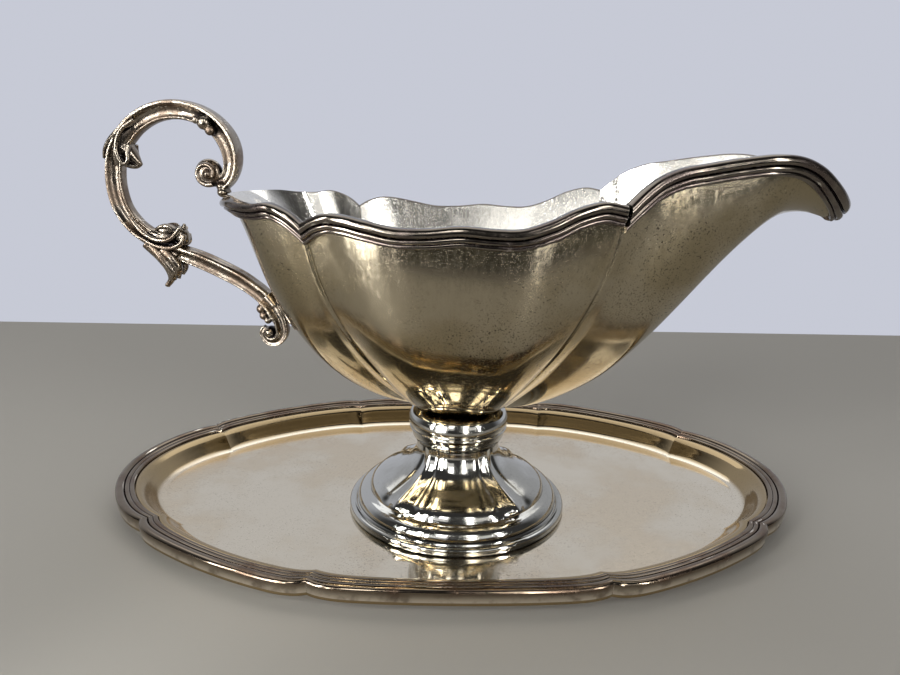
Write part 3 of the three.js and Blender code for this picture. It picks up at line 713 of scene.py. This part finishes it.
class Panel:
    """One panel of the bowl between folds: q runs along it and t up its ribs, both from 0 to 1."""

    def __init__(self, steps, folds, rim, base, hollow, flare, moulding_depth=1.0):
        """Rim and base give points by q. A rib between them is a quarter of an oval, fuller or
        hollower by its power, and drawn in by its flare, most of all two thirds of the way up."""
        self.steps = steps
        self.folds = folds
        self.rim = rim
        self.base = base
        self.hollow = hollow
        self.flare = flare
        self.moulding_depth = moulding_depth

    def points(self, q, t):
        """Outer face for ribs q (n) at heights t (n or 1 by m)."""
        rim, base = self.rim(q)[:, None, :], self.base(q)[:, None, :]
        angle = t * math.pi / 2
        reach = (np.sin(angle) ** self.hollow(q)[:, None])[..., None]
        rise = (1 - np.cos(angle))[..., None] * np.ones((len(q), 1, 1))
        waist = t * t * (1 - t) * 27 / 4
        drawn = (1 - self.flare(q)[:, None] * waist)[..., None]
        spread = lerp(base, rim, reach) * drawn
        height = lerp(base, rim, rise)
        return np.concatenate([spread[..., :2], height[..., 2:]], axis=-1)

    def directions(self, q, t):
        """Directions up the ribs, along the bowl and out of its face."""
        step = 0.004
        low = np.where(t < 0.5, t, t - step)
        up = unit(self.points(q, low + step) - self.points(q, low))
        level = np.maximum(t, step)
        behind, ahead = np.maximum(0, q - step), np.minimum(1, q + step)
        along = unit(self.points(ahead, level) - self.points(behind, level))
        return up, along, unit(np.cross(up, along))

    def creased(self, q, t):
        """Outer face with a fine valley sunk along each fold."""
        outer = self.points(q, t)
        for fold in self.folds:
            away = np.linalg.norm(outer - self.points(np.array([fold]), t), axis=-1)
            depth = CREASE_DEPTH * np.exp(-((away / CREASE_WIDTH) ** 2)) * smoothstep(t, 0, 0.2)
            mostly_across = outer[..., :2] * (0.3, 1)
            outer[..., :2] -= unit(mostly_across) * depth[..., None]
        return outer

    def inner(self, q, t):
        """Inner face, one wall thickness inside and never past the middle plane."""
        outer = self.points(q, t)
        inner = outer - WALL * self.directions(q, t)[2]
        narrowest = 0.15 * outer[..., 1]
        in_middle = outer[..., 1] < 1e-6
        inner[..., 1] = np.where(in_middle, 0, np.maximum(inner[..., 1], narrowest))
        return inner


PANELS = [
    Panel(
        steps=64,
        folds=[1.0],
        rim=lambda q: BACK_RIM.at(0.5 + q / 2),
        base=lambda q: end_base(BACK_KEEL.at, math.pi, -1, q),
        hollow=lambda q: lerp(1.3, 1.7, q) + 0.35 * q**10,
        flare=lambda q: lerp(0.065, 0.03, q),
        moulding_depth=0.82,
    ),
    Panel(
        steps=84,
        folds=[0.0, 1.0],
        rim=SIDE_RIM.at,
        base=lambda q: on_base(lerp(math.pi - CREASE_ANGLE, CREASE_ANGLE, q)),
        hollow=lambda q: 1.2 + 0.9 * np.abs(2 * q - 1) ** 4,
        flare=lambda q: np.full(len(q), 0.03),
    ),
    Panel(
        steps=88,
        folds=[0.0],
        rim=lambda q: SPOUT_RIM.at(1 - q / 2),
        base=lambda q: end_base(lambda k: SPOUT_KEEL.at(1 - k), 0, 1, 1 - q),
        hollow=lambda q: lerp(1.8, 1.05, q**1.5) + 0.35 * (1 - q) ** 10,
        flare=lambda q: 0.03 * (1 - q),
    ),
]
BACK, SIDE, SPOUT = PANELS
RIB_STEPS = 64


def panel_spread(steps):
    """Shares along a panel, closer together near its folds."""
    even = np.linspace(0, 1, steps + 1)
    bunched = 0.5 - 0.5 * np.cos(np.pi * even)
    return lerp(even, bunched, 0.7)


def bowl_body():
    """All three panels and their mirror images as one wall, open at the top."""
    t = np.linspace(0, 1, RIB_STEPS + 1)[None, :]
    sections = []
    for index, panel in enumerate(PANELS):
        q = panel_spread(panel.steps)[0 if index == 0 else 1:]
        outer, inner = panel.creased(q, t), panel.inner(q, t)
        loops = [mirrored(outer[:, ::-1]), outer, inner[:, ::-1], mirrored(inner)]
        sections.append(np.concatenate(loops, axis=1))
    return skin(np.concatenate(sections))


RIM_BEADS = [(2.85, 0.85, 2.55), (4.3, 0.66, 1.8)]
RIM_FLOOR = 1.15
MOST_STRETCH = 1.3
# The gap as a share of a panel some 60 mm long.
MITRE_SHARE = MITRE_GAP / 60


def rim_outline():
    """Reeded moulding as [out of the wall, down the wall], lapping over the wall's top edge."""
    band = arc((1.25, 0.95), 1.5, -95, 35, 18)
    face = beads(RIM_BEADS, 1.8, 4.95, RIM_FLOOR)
    face = evened(face[:, ::-1], 44)
    lip = through([[-1.2, 1.4], [-1.28, 0.5], [-1.05, -0.1], [-0.4, -0.42], [0.6, -0.52]], 12)
    return np.vstack([lip, band, face, [[0.4, 5.0], [-0.65, 4.6], [-0.65, 2.4]]])


RIM_OUTLINE = rim_outline()


def rim_sections(panel, q):
    """The moulding's sections on the ribs q, following the wall downwards. Where a rib meets the
    rim aslant, its section is stretched, so that the moulding keeps its width."""
    t = np.linspace(1, 0.3, 160)
    ribs = panel.points(q, t[None, :])
    gone = np.cumsum(np.linalg.norm(np.diff(ribs, axis=1), axis=2), axis=1)
    gone = np.concatenate([np.zeros((len(q), 1)), gone], axis=1)
    up, along, _ = (direction[:, 0] for direction in panel.directions(q, np.ones((1, 1))))
    slant = np.sqrt(np.maximum(1 - np.sum(up * along, axis=1) ** 2, 0.1))
    stretch = panel.moulding_depth * np.minimum(MOST_STRETCH, 1 / slant)
    out, down = RIM_OUTLINE[:, 0], RIM_OUTLINE[:, 1]
    depth = stretch[:, None] * down[None, :]
    at = np.stack([np.interp(wanted, reached, t) for wanted, reached in zip(depth, gone)])
    place = panel.points(q, at)
    up, _, outward = panel.directions(q, at)
    above = np.maximum(-depth, 0)[..., None]
    return place + up * above + outward * out[None, :, None]


def rim_length(panel, steps, middle_q=None):
    """Moulding along one panel; an end panel's moulding carries on round the other side."""
    if middle_q is None:
        return skin(rim_sections(panel, lerp(MITRE_SHARE, 1 - MITRE_SHARE, panel_spread(steps))))
    first_q = abs(1 - middle_q - MITRE_SHARE)
    half = rim_sections(panel, lerp(first_q, middle_q, panel_spread(steps)))
    half[-1][:, 1] = 0
    return skin(np.concatenate([half, mirrored(half[-2::-1])]))


def other_side(form):
    points, faces = form
    return mirrored(points), faces


def boat_piece(node, form, material, crease=35):
    build(node + "_fine", form, on_boat, material, "boat", node, crease)


boat_piece("bowl_body", bowl_body(), bowl_silver(), 50)
moulded = rim_silver()
side_moulding = rim_length(SIDE, 150)
for node, moulding in (
    ("rim_back_side", side_moulding),
    ("rim_front_side", other_side(side_moulding)),
    ("rim_handle_end", rim_length(BACK, 80, middle_q=0)),
    ("rim_spout", rim_length(SPOUT, 110, middle_q=1)),
):
    boat_piece(node, moulding, moulded)

# ---------------- foot and stem

FOOT_RADIUS = 36.3
SKIRT_FOOT_Z = 4.75
SKIRT_TOP_Z = 24.4
STEM_TOP_Z = 35.25
REED_ANGLES = np.radians([56, 136, 236, 316])
REED_HEIGHT, REED_WIDTH = 1.5, 0.075
GROOVE_DEPTH, GROOVE_WIDTH, GROOVE_AWAY = 0.55, 0.055, 0.19
FOOT_STEPS = 288


def foot_base():
    """Plinth ring: a round edge with a small bead inside it."""
    tube = arc((35.2, 2.8), 1.1, -20, 110, 16)
    bead = through([[34.5, 3.75], [34.2, 3.7], [33.9, 4.1], [33.6, 4.4]], 8)
    profile = [[32.2, 1.5], [FOOT_RADIUS - 0.3, 1.5], [FOOT_RADIUS, 1.8], *tube, *bead, [32.2, 4.6]]
    return lathe(profile, FOOT_STEPS)


def stem_knop():
    """A short neck, a step and the collar cup that holds the bowl."""
    low, high = SKIRT_TOP_Z + 0.1, STEM_TOP_Z + 0.2
    neck = through([[13.4, low], [14.3, 25.2], [15.1, 26.4], [15.5, 27.8], [15.6, 28.9]], 18)
    step = arc((15.75, 29.35), 0.42, -70, 60, 8)
    cup = through(
        [[15.95, 29.9], [16.35, 31.0], [16.4, 32.2], [16.1, 33.6], [15.5, 34.8], [14.9, STEM_TOP_Z]], 20,
    )
    return lathe([[0.4, low], *neck, *step, *cup, [13.6, high], [0.4, high]], FOOT_STEPS)


def reeding(angles, z):
    """Four reeds down the skirt, each between two fine grooves. They start above the roll and sink
    towards the neck; angles are in radians."""
    fade = smoothstep(z, 8.6, 10.2) * (1 - 0.55 * smoothstep(z, 13, SKIRT_TOP_Z))
    turn = np.abs(angles[:, None] - REED_ANGLES) % (2 * math.pi)
    away = np.minimum(turn, 2 * math.pi - turn).min(axis=1)
    reed = REED_HEIGHT * np.exp(-((away / REED_WIDTH) ** 2))
    groove = GROOVE_DEPTH * np.exp(-(((away - GROOVE_AWAY) / GROOVE_WIDTH) ** 2))
    return fade * (reed - groove)


def foot_skirt():
    """The bell of the foot, hollow underneath."""
    roll = through([[33.6, SKIRT_FOOT_Z], [33.4, 5.6], [32.6, 6.9], [31.2, 7.8], [29.8, 8.2]], 16)
    flute = through(
        [[29.4, 8.35], [29.1, 9.2], [28.5, 10.3], [27.2, 11.4], [23.6, 13.2], [19.6, 15.2],
         [16.6, 17.4], [14.9, 19.6], [13.9, 22.0], [13.7, SKIRT_TOP_Z]],
        64,
    )
    inside = through(
        [[12.2, SKIRT_TOP_Z], [12.4, 21.6], [13.6, 18.8], [16.0, 15.8], [19.2, 13.6],
         [23.0, 11.6], [26.4, 9.4], [28.0, 7.0], [30.4, 5.8], [31.6, SKIRT_FOOT_Z]],
        36,
    )
    angles = full_turn(FOOT_STEPS)
    rings = [ring(r + reeding(angles, z), z, angles) for r, z in [*roll, *flute]]
    rings += [ring(r, z, angles) for r, z in inside]
    return skin(rings, closed_row=True)


turned = foot_silver()
boat_piece("foot_base", foot_base(), turned)
boat_piece("foot_skirt", foot_skirt(), turned, 30)
boat_piece("stem_knop", stem_knop(), turned, 30)

# ---------------- handle

# Section of the scrolls as [in the handle's plane, across it]: a broad rounded back, a double edge,
# and a channel on each cheek that runs out to a thin inner edge.
CHEEK = [
    [1.0, 0.0], [0.99, 0.35], [0.93, 0.7], [0.8, 0.92], [0.7, 0.86], [0.6, 0.92], [0.46, 0.78], [0.16, 0.52],
    [-0.2, 0.42], [-0.55, 0.44], [-0.8, 0.56], [-0.93, 0.48], [-1.0, 0.2],
]
CHEEK_OUTLINE = Curve([*CHEEK, [-1.0, 0.0], *[[a, -b] for a, b in CHEEK[:0:-1]]], closed=True)
CHANNELLED = CHEEK_OUTLINE.at(np.linspace(0, 1, 64, endpoint=False))
ROUND = arc((0, 0), 1, 0, 345, 24)


def sweep(rows, size, steps=60, section=CHANNELLED):
    """A section carried along a curve through [x, z] or [x, y, z] points. By its share of the
    length, size gives the half thickness in the handle's plane and across it."""
    curve = Curve([row if len(row) == 3 else [row[0], 0, row[1]] for row in rows])
    share = np.linspace(0, 1, steps + 1)
    place, along = curve.at(share), curve.direction(share)
    in_plane = unit(np.cross([0, 1, 0], along))
    across = unit(np.cross(along, in_plane))
    thick, wide = (np.broadcast_to(value, share.shape)[:, None, None] for value in size(share))
    offset = in_plane[:, None] * thick * section[:, :1] + across[:, None] * wide * section[:, 1:]
    return skin(place[:, None] + offset)


def taper(start, end):
    """Half thicknesses for sweep that change evenly from start to end."""
    return lambda u: (lerp(start[0], end[0], u), lerp(start[1], end[1], u))


def finger(rows, start, end, steps=40):
    """A tapering form with a round section."""
    return sweep(rows, taper((start, start), (end, end)), steps, ROUND)


def both(form):
    """A form and its mirror image across the handle's plane."""
    return [form, other_side(form)]


def blob(x, y, z, radius, squash, turn=0.0):
    """A ball squashed in x, y and z, then turned in the handle's plane."""
    pole = 0.06
    polar = np.linspace(pole, math.pi - pole, 24)
    rings = np.stack([ring(math.sin(angle), math.cos(angle), full_turn(32)) for angle in polar])
    bx, by, bz = np.moveaxis(rings * radius * np.array(squash), -1, 0)
    cos, sin = math.cos(turn), math.sin(turn)
    turned = np.stack([bx * cos + bz * sin, by, bz * cos - bx * sin], axis=-1)
    return skin(turned + (x, y, z))


def spiral(x, z, outer, inner, start, turn, count=24):
    """Points of a spiral in the handle's plane, from outer to inner radius; angles in degrees."""
    share = np.linspace(0, 1, count)
    angle = np.radians(start + turn * share)
    radius = lerp(outer, inner, share)
    return np.stack([x + radius * np.cos(angle), np.zeros(count), z + radius * np.sin(angle)], axis=1)


UPPER_SCROLL = [
    [-78.2, 105.4], [-75.6, 107.4], [-73.8, 111.4], [-74.0, 116.6], [-76.3, 121.4], [-80.5, 125.3],
    [-86.1, 127.7], [-92.6, 128.3], [-99.0, 126.9], [-104.8, 123.5], [-109.2, 119.0],
]
STEM_SCROLL = [[-112.6, 111.0], [-112.9, 104.0], [-111.2, 97.0], [-107.0, 91.4], [-102.6, 88.2]]
BRANCH = [[-94.0, 83.6], [-86.5, 81.1], [-79.0, 78.0], [-72.6, 74.9], [-67.4, 71.6], [-64.6, 69.2]]
LOWER_SCROLL = [
    [-61.6, 65.6], [-59.8, 61.8], [-59.4, 58.0], [-61.2, 55.2], [-64.2, 55.0], [-66.0, 57.4], [-64.8, 59.6],
]


def upper_scroll():
    """The C over the top, with a volute ball inside it and a bead that stands on the rim."""
    arm = sweep(
        UPPER_SCROLL,
        lambda u: (lerp(2.2, 3.0, smoothstep(u, 0, 0.3)), lerp(2.8, 3.9, smoothstep(u, 0, 0.3))),
        160,
    )
    volute = blob(-81.6, 0, 109.2, 4.45, (1, 0.7, 1))
    ridge = spiral(-81.4, 109.1, 3.6, 2.2, -60, -330)
    ridges = both(sweep(ridge + (0, 2.3, 0), taper((0.85, 0.9), (0.6, 1.3)), 80, ROUND))
    eye = blob(-81.0, 0, 109.0, 2.0, (1, 2.15, 1))
    buds = [
        form
        for x, y, z, r in ((-81.0, 3.2, 124.4, 2.1), (-79.2, 3.0, 122.2, 1.6), (-83.4, 3.3, 125.3, 1.3))
        for form in both(blob(x, y, z, r, (1, 0.8, 1)))
    ]
    rim_bead = blob(-77.3, 0, 105.2, 1.9, (1, 1.5, 0.9))
    rim_stub = blob(-77.0, 0, 103.4, 2.0, (1, 1.6, 0.9))
    return [arm, volute, *ridges, eye, *buds, rim_bead, rim_stub]


def upper_leaf():
    """The channel closes in a raised loop; one leaf curls inwards below it, another lies outside."""
    sleeve = sweep(
        [[-104.6, 123.2], [-109.0, 119.0], [-111.2, 114.6], [-111.8, 110.6]],
        lambda u: (1.4 + 1.6 * np.sin(math.pi * u), 1.8 + 1.5 * np.sin(math.pi * u)), 60, ROUND,
    )
    lip = sweep(
        [[-109.2, 117.4], [-107.2, 114.6], [-105.4, 112.4], [-104.0, 111.1]],
        lambda u: (0.4 + 1.9 * (1 - u**2), 0.5 + 2.6 * (1 - u**2)), 50, ROUND,
    )
    under = sweep(
        [[-110.4, 113.6], [-108.4, 111.4], [-106.2, 110.7], [-104.3, 111.1]],
        lambda u: (0.4 + 1.0 * (1 - u**2), 0.6 + 2.2 * (1 - u**2)), 50, ROUND,
    )
    tip = sweep(
        [[-110.2, 121.2], [-113.8, 118.4], [-115.9, 115.6], [-116.7, 112.9]],
        taper((1.5, 3.2), (0.4, 0.7)), 50, ROUND,
    )
    loop = [
        [-103.6, 3.3, 125.0], [-107.9, 3.7, 121.8], [-109.9, 3.9, 117.4], [-109.7, 3.8, 113.6],
        [-108.3, 3.5, 111.4], [-107.0, 3.2, 112.4], [-107.0, 2.9, 115.2], [-106.6, 2.3, 117.4],
    ]
    return [sleeve, lip, under, tip, *both(finger(loop, 0.7, 0.6, 100))]


def stem():
    """The stem scroll; its top runs up inside the leaf sleeve."""
    inside_sleeve = [[-109.6, 118.6], [-111.6, 115.0]]
    return [sweep([*inside_sleeve, *STEM_SCROLL], lambda u: (2.6, 3.6), 100)]


def acanthus():
    """Where the stem meets the branch: a rolled bud, and beyond it a fin that turns over."""
    body = sweep([[-105.6, 90.4], [-101.6, 87.8], [-97.4, 86.2], [-92.6, 84.4]], lambda u: (2.3, 3.1), 50)
    crest = sweep(
        [[-103.4, 90.0], [-99.6, 88.8], [-95.6, 88.4], [-92.2, 88.6]],
        lambda u: (1.2 + 1.0 * np.sin(math.pi * u), 1.8 + 1.3 * np.sin(math.pi * u)), 50, ROUND,
    )
    upper = [
        [-108.6, 2.6, 95.0], [-104.4, 3.3, 90.2], [-99.6, 3.7, 87.8], [-95.0, 3.4, 88.0], [-91.8, 1.9, 91.6],
    ]
    lower = [
        [-105.4, 2.6, 88.2], [-100.0, 3.3, 85.8], [-94.6, 3.3, 85.3], [-91.4, 2.7, 86.9], [-90.9, 1.7, 89.4],
    ]
    over_bud = [[-100.2, 2.2, 90.8], [-97.8, 2.7, 92.0], [-95.2, 2.7, 91.9], [-94.4, 2.4, 90.4]]
    curls = [
        form
        for rows, start, end in ((upper, 0.5, 0.9), (lower, 0.7, 0.9), (over_bud, 0.5, 0.8))
        for form in both(finger(rows, start, end, 60))
    ]
    bud = blob(-97.2, 0, 90.5, 2.9, (1.2, 1.05, 0.75), 0.1)
    fin = blob(-92.3, 0, 88.9, 3.1, (0.78, 0.9, 1.05), -0.3)
    point = sweep([[-92.6, 89.0], [-91.6, 91.2], [-91.2, 92.9]], taper((1.8, 2.4), (0.4, 0.5)), 30, ROUND)
    return [body, crest, *curls, bud, fin, point]


def pendant_leaf():
    """A hanging leaf of five overlapping fingers, the longest turned out at its tip."""
    longest = [[-104.2, 0, 86.2], [-100.2, 0, 81.8], [-97.6, 0, 77.8], [-97.0, 0, 74.6], [-98.8, 0, 72.0]]
    outer = [[-102.2, 1.6, 85.6], [-98.2, 2.3, 81.2], [-95.6, 2.1, 77.4], [-95.8, 1.3, 74.4]]
    inner = [[-98.2, 1.8, 84.4], [-94.8, 2.3, 81.4], [-93.4, 2.0, 78.6], [-94.4, 1.1, 76.2]]
    return [
        sweep(longest, taper((2.1, 2.8), (0.8, 1.2)), 60, ROUND),
        *both(finger(outer, 1.8, 1.1, 50)),
        *both(finger(inner, 1.9, 1.3, 50)),
    ]


def branch():
    """The bar down to the bowl, with its broad back above and a raised edge on each side of it."""
    bar = sweep(BRANCH, lambda u: (2.6, 3.2), 80, CHANNELLED * (-1, 1))
    edge = [
        [-94.6, 1.3, 85.2], [-86.0, 1.3, 82.8], [-78.2, 1.3, 79.6], [-71.6, 1.3, 76.3], [-66.0, 1.3, 72.4],
    ]
    return [bar, *both(sweep(edge, lambda u: (1.1, 1.6), 60, ROUND))]


def lower_scroll():
    """The branch's end, curled up in a small volute with beads down its back."""
    neck = sweep([[-65.0, 69.6], [-62.3, 66.7], [-60.6, 63.4]], lambda u: (2.5, 3.2), 40)
    curl = sweep(LOWER_SCROLL, taper((2.4, 3.2), (1.2, 2.2)), 90)
    eye = blob(-63.6, 0, 58.1, 1.9, (1, 1.6, 1))
    lobes = [
        form
        for x, z, r in ((-66.0, 66.0, 1.6), (-65.2, 63.8, 1.5), (-63.9, 62.2, 1.2))
        for form in both(blob(x, 1.3, z, r, (1, 1.1, 1)))
    ]
    return [neck, curl, eye, *lobes]


def bowl_leaf():
    """Fingers lying down the back of the bowl from the end of the branch."""
    wall = BACK_KEEL.at(np.linspace(0, 1, 200))
    heights = [69.5, 67.2, 64.9, 62.4, 60.0]
    down = np.interp(heights, wall[::-1, 2], wall[::-1, 0])
    lift, rounding, opening = 0.9, 0.16, 0.16
    fingers = []
    for spread, length in ((0.0, 5), (2.6, 5), (5.0, 4)):
        rows = [
            [x - lift + spread * rounding, spread * (0.5 + opening * place), z]
            for place, (x, z) in enumerate(zip(down, heights))
        ]
        one = finger(rows[:length], 1.5, 0.7)
        fingers += both(one) if spread else [one]
    root = sweep([[-64.0, 70.4], [-61.0, 67.2]], taper((2.2, 3.4), (1.8, 3.4)), 20, ROUND)
    return [root, *fingers]


castings = handle_silver()
for node, forms in (
    ("handle_upper_scroll", upper_scroll()),
    ("handle_upper_leaf", upper_leaf()),
    ("handle_stem", stem()),
    ("handle_acanthus", acanthus()),
    ("handle_pendant_leaf", pendant_leaf()),
    ("handle_branch", branch()),
    ("handle_lower_scroll", lower_scroll()),
    ("handle_bowl_leaf", bowl_leaf()),
):
    cast(node + "_fine", forms, castings, node)

# ---------------- stage, lights and camera

FLOOR_SIDE = 1.3
FLOOR_FRONT = -0.2
FLOOR_BACK = 0.237
FLOOR_CLEARANCE = 0.0002


def pale_floor():
    """A matt floor just under the tray. It ends close in front, so the bowl also reflects the dark."""
    s = Shader("floor_pale")
    s.put(rgb(0.30, 0.285, 0.255), s.surface.inputs["Base Color"])
    s.surface.inputs["Roughness"].default_value = 0.85
    s.surface.inputs["Specular IOR Level"].default_value = 0.2
    level = FLOOR_LEVEL - FLOOR_CLEARANCE
    corners = [
        (-FLOOR_SIDE, FLOOR_FRONT, level),
        (FLOOR_SIDE, FLOOR_FRONT, level),
        (FLOOR_SIDE, FLOOR_BACK, level),
        (-FLOOR_SIDE, FLOOR_BACK, level),
    ]
    mesh = bpy.data.meshes.new("floor")
    mesh.from_pydata(corners, [], [[0, 1, 2, 3]])
    mesh.materials.append(s.material)
    floor = linked("floor", mesh)


pale_floor()
DARK_END, LIGHT_START = -0.1, 0.6


def studio_world(seen, front, back):
    """A plain pale background. For the silver and the floor the room is dark in front of the
    object and pale behind it, and changes over between two values of the direction's y."""
    world = bpy.data.worlds.new("studio")
    world.use_nodes = True
    room = Nodes(world.node_tree)
    split = room.new("ShaderNodeSeparateXYZ")
    room.put(room.new("ShaderNodeTexCoord").outputs["Generated"], split.inputs[0])
    around = room.mix(room.ranged(split.outputs["Y"], DARK_END, LIGHT_START), front, back)
    camera_ray = room.new("ShaderNodeLightPath").outputs["Is Camera Ray"]
    background = world.node_tree.nodes["Background"]
    room.put(room.mix(camera_ray, around, seen), background.inputs["Color"])
    bpy.context.scene.world = world


studio_world(seen=rgb(0.57, 0.59, 0.67), front=rgb(0.05, 0.05, 0.05), back=rgb(0.57, 0.59, 0.65))


def softbox(name, place, aim, width, height, watts):
    light = bpy.data.lights.new(name, "AREA")
    light.shape = "RECTANGLE"
    light.size, light.size_y = width, height
    light.energy = watts
    lamp = linked(name, light)
    lamp.location = place
    lamp.visible_camera = False
    lamp.rotation_euler = (Vector(aim) - Vector(place)).to_track_quat("-Z", "Y").to_euler()
    return lamp


CARD_SPREAD = math.radians(50)


def card(name, place, aim, width, height, brightness):
    """A small bright card close by, that puts a narrow reflection on the bowl; brightness is in
    watts per square metre."""
    lamp = softbox(name, place, aim, width, height, brightness * width * height)
    lamp.data.spread = CARD_SPREAD


BOAT_MIDDLE = (0, 0, 0.06)
for name, place, width, height, watts in (
    ("window_left", (-0.50, -0.55, 0.22), 0.05, 0.60, 3.0),
    ("window_far_left", (-0.70, -0.36, 0.24), 0.06, 0.50, 2.4),
    ("window_right", (0.58, -0.56, 0.26), 0.05, 0.50, 2.2),
    ("lamp_front_left", (-0.26, -0.80, 0.62), 0.16, 0.34, 1.3),
    ("lamp_front_right", (0.24, -0.80, 0.62), 0.16, 0.34, 1.3),
    ("softbox_behind", (0.0, 0.5, 1.2), 1.8, 1.2, 6.8),
    ("softbox_low_left", (-0.48, -0.95, 0.42), 0.60, 0.34, 0.6),
    ("softbox_low_right", (0.44, -0.95, 0.42), 0.60, 0.34, 0.6),
):
    softbox(name, place, BOAT_MIDDLE, width, height, watts)
card("card_left", (-0.125, -0.140, 0.11), (-0.03, -0.033, 0.10), 0.042, 0.22, 6.5)
card("card_left_thin", (-0.104, -0.184, 0.13), (-0.022, -0.035, 0.10), 0.012, 0.26, 4.0)
card("card_right", (0.062, -0.240, 0.12), (0.028, -0.038, 0.10), 0.022, 0.24, 5.0)

CAMERA_PLACE = (-0.00858, -0.2313, 0.1182)
CAMERA_YAW = math.radians(-1.54)
CAMERA_PITCH = math.radians(14.91)
CAMERA_ROLL = math.radians(1.28)
CAMERA_LENS = 28.3


def camera():
    """Yaw turns the view left of +Y, pitch tips it down and roll leans it over."""
    forward = Vector((
        -math.sin(CAMERA_YAW) * math.cos(CAMERA_PITCH),
        math.cos(CAMERA_YAW) * math.cos(CAMERA_PITCH),
        -math.sin(CAMERA_PITCH),
    ))
    level_right = Vector((math.cos(CAMERA_YAW), math.sin(CAMERA_YAW), 0))
    level_up = level_right.cross(forward)
    cos, sin = math.cos(CAMERA_ROLL), math.sin(CAMERA_ROLL)
    right = level_right * cos + level_up * sin
    up = level_up * cos - level_right * sin
    data = bpy.data.cameras.new("camera")
    data.lens = CAMERA_LENS
    data.sensor_width = 36
    data.clip_start = 0.01
    eye = linked("camera", data)
    turned = Matrix((right, up, -forward)).transposed().to_4x4()
    eye.matrix_world = Matrix.Translation(CAMERA_PLACE) @ turned
    bpy.context.scene.camera = eye


camera()
bpy.context.scene.view_settings.view_transform = "Standard"
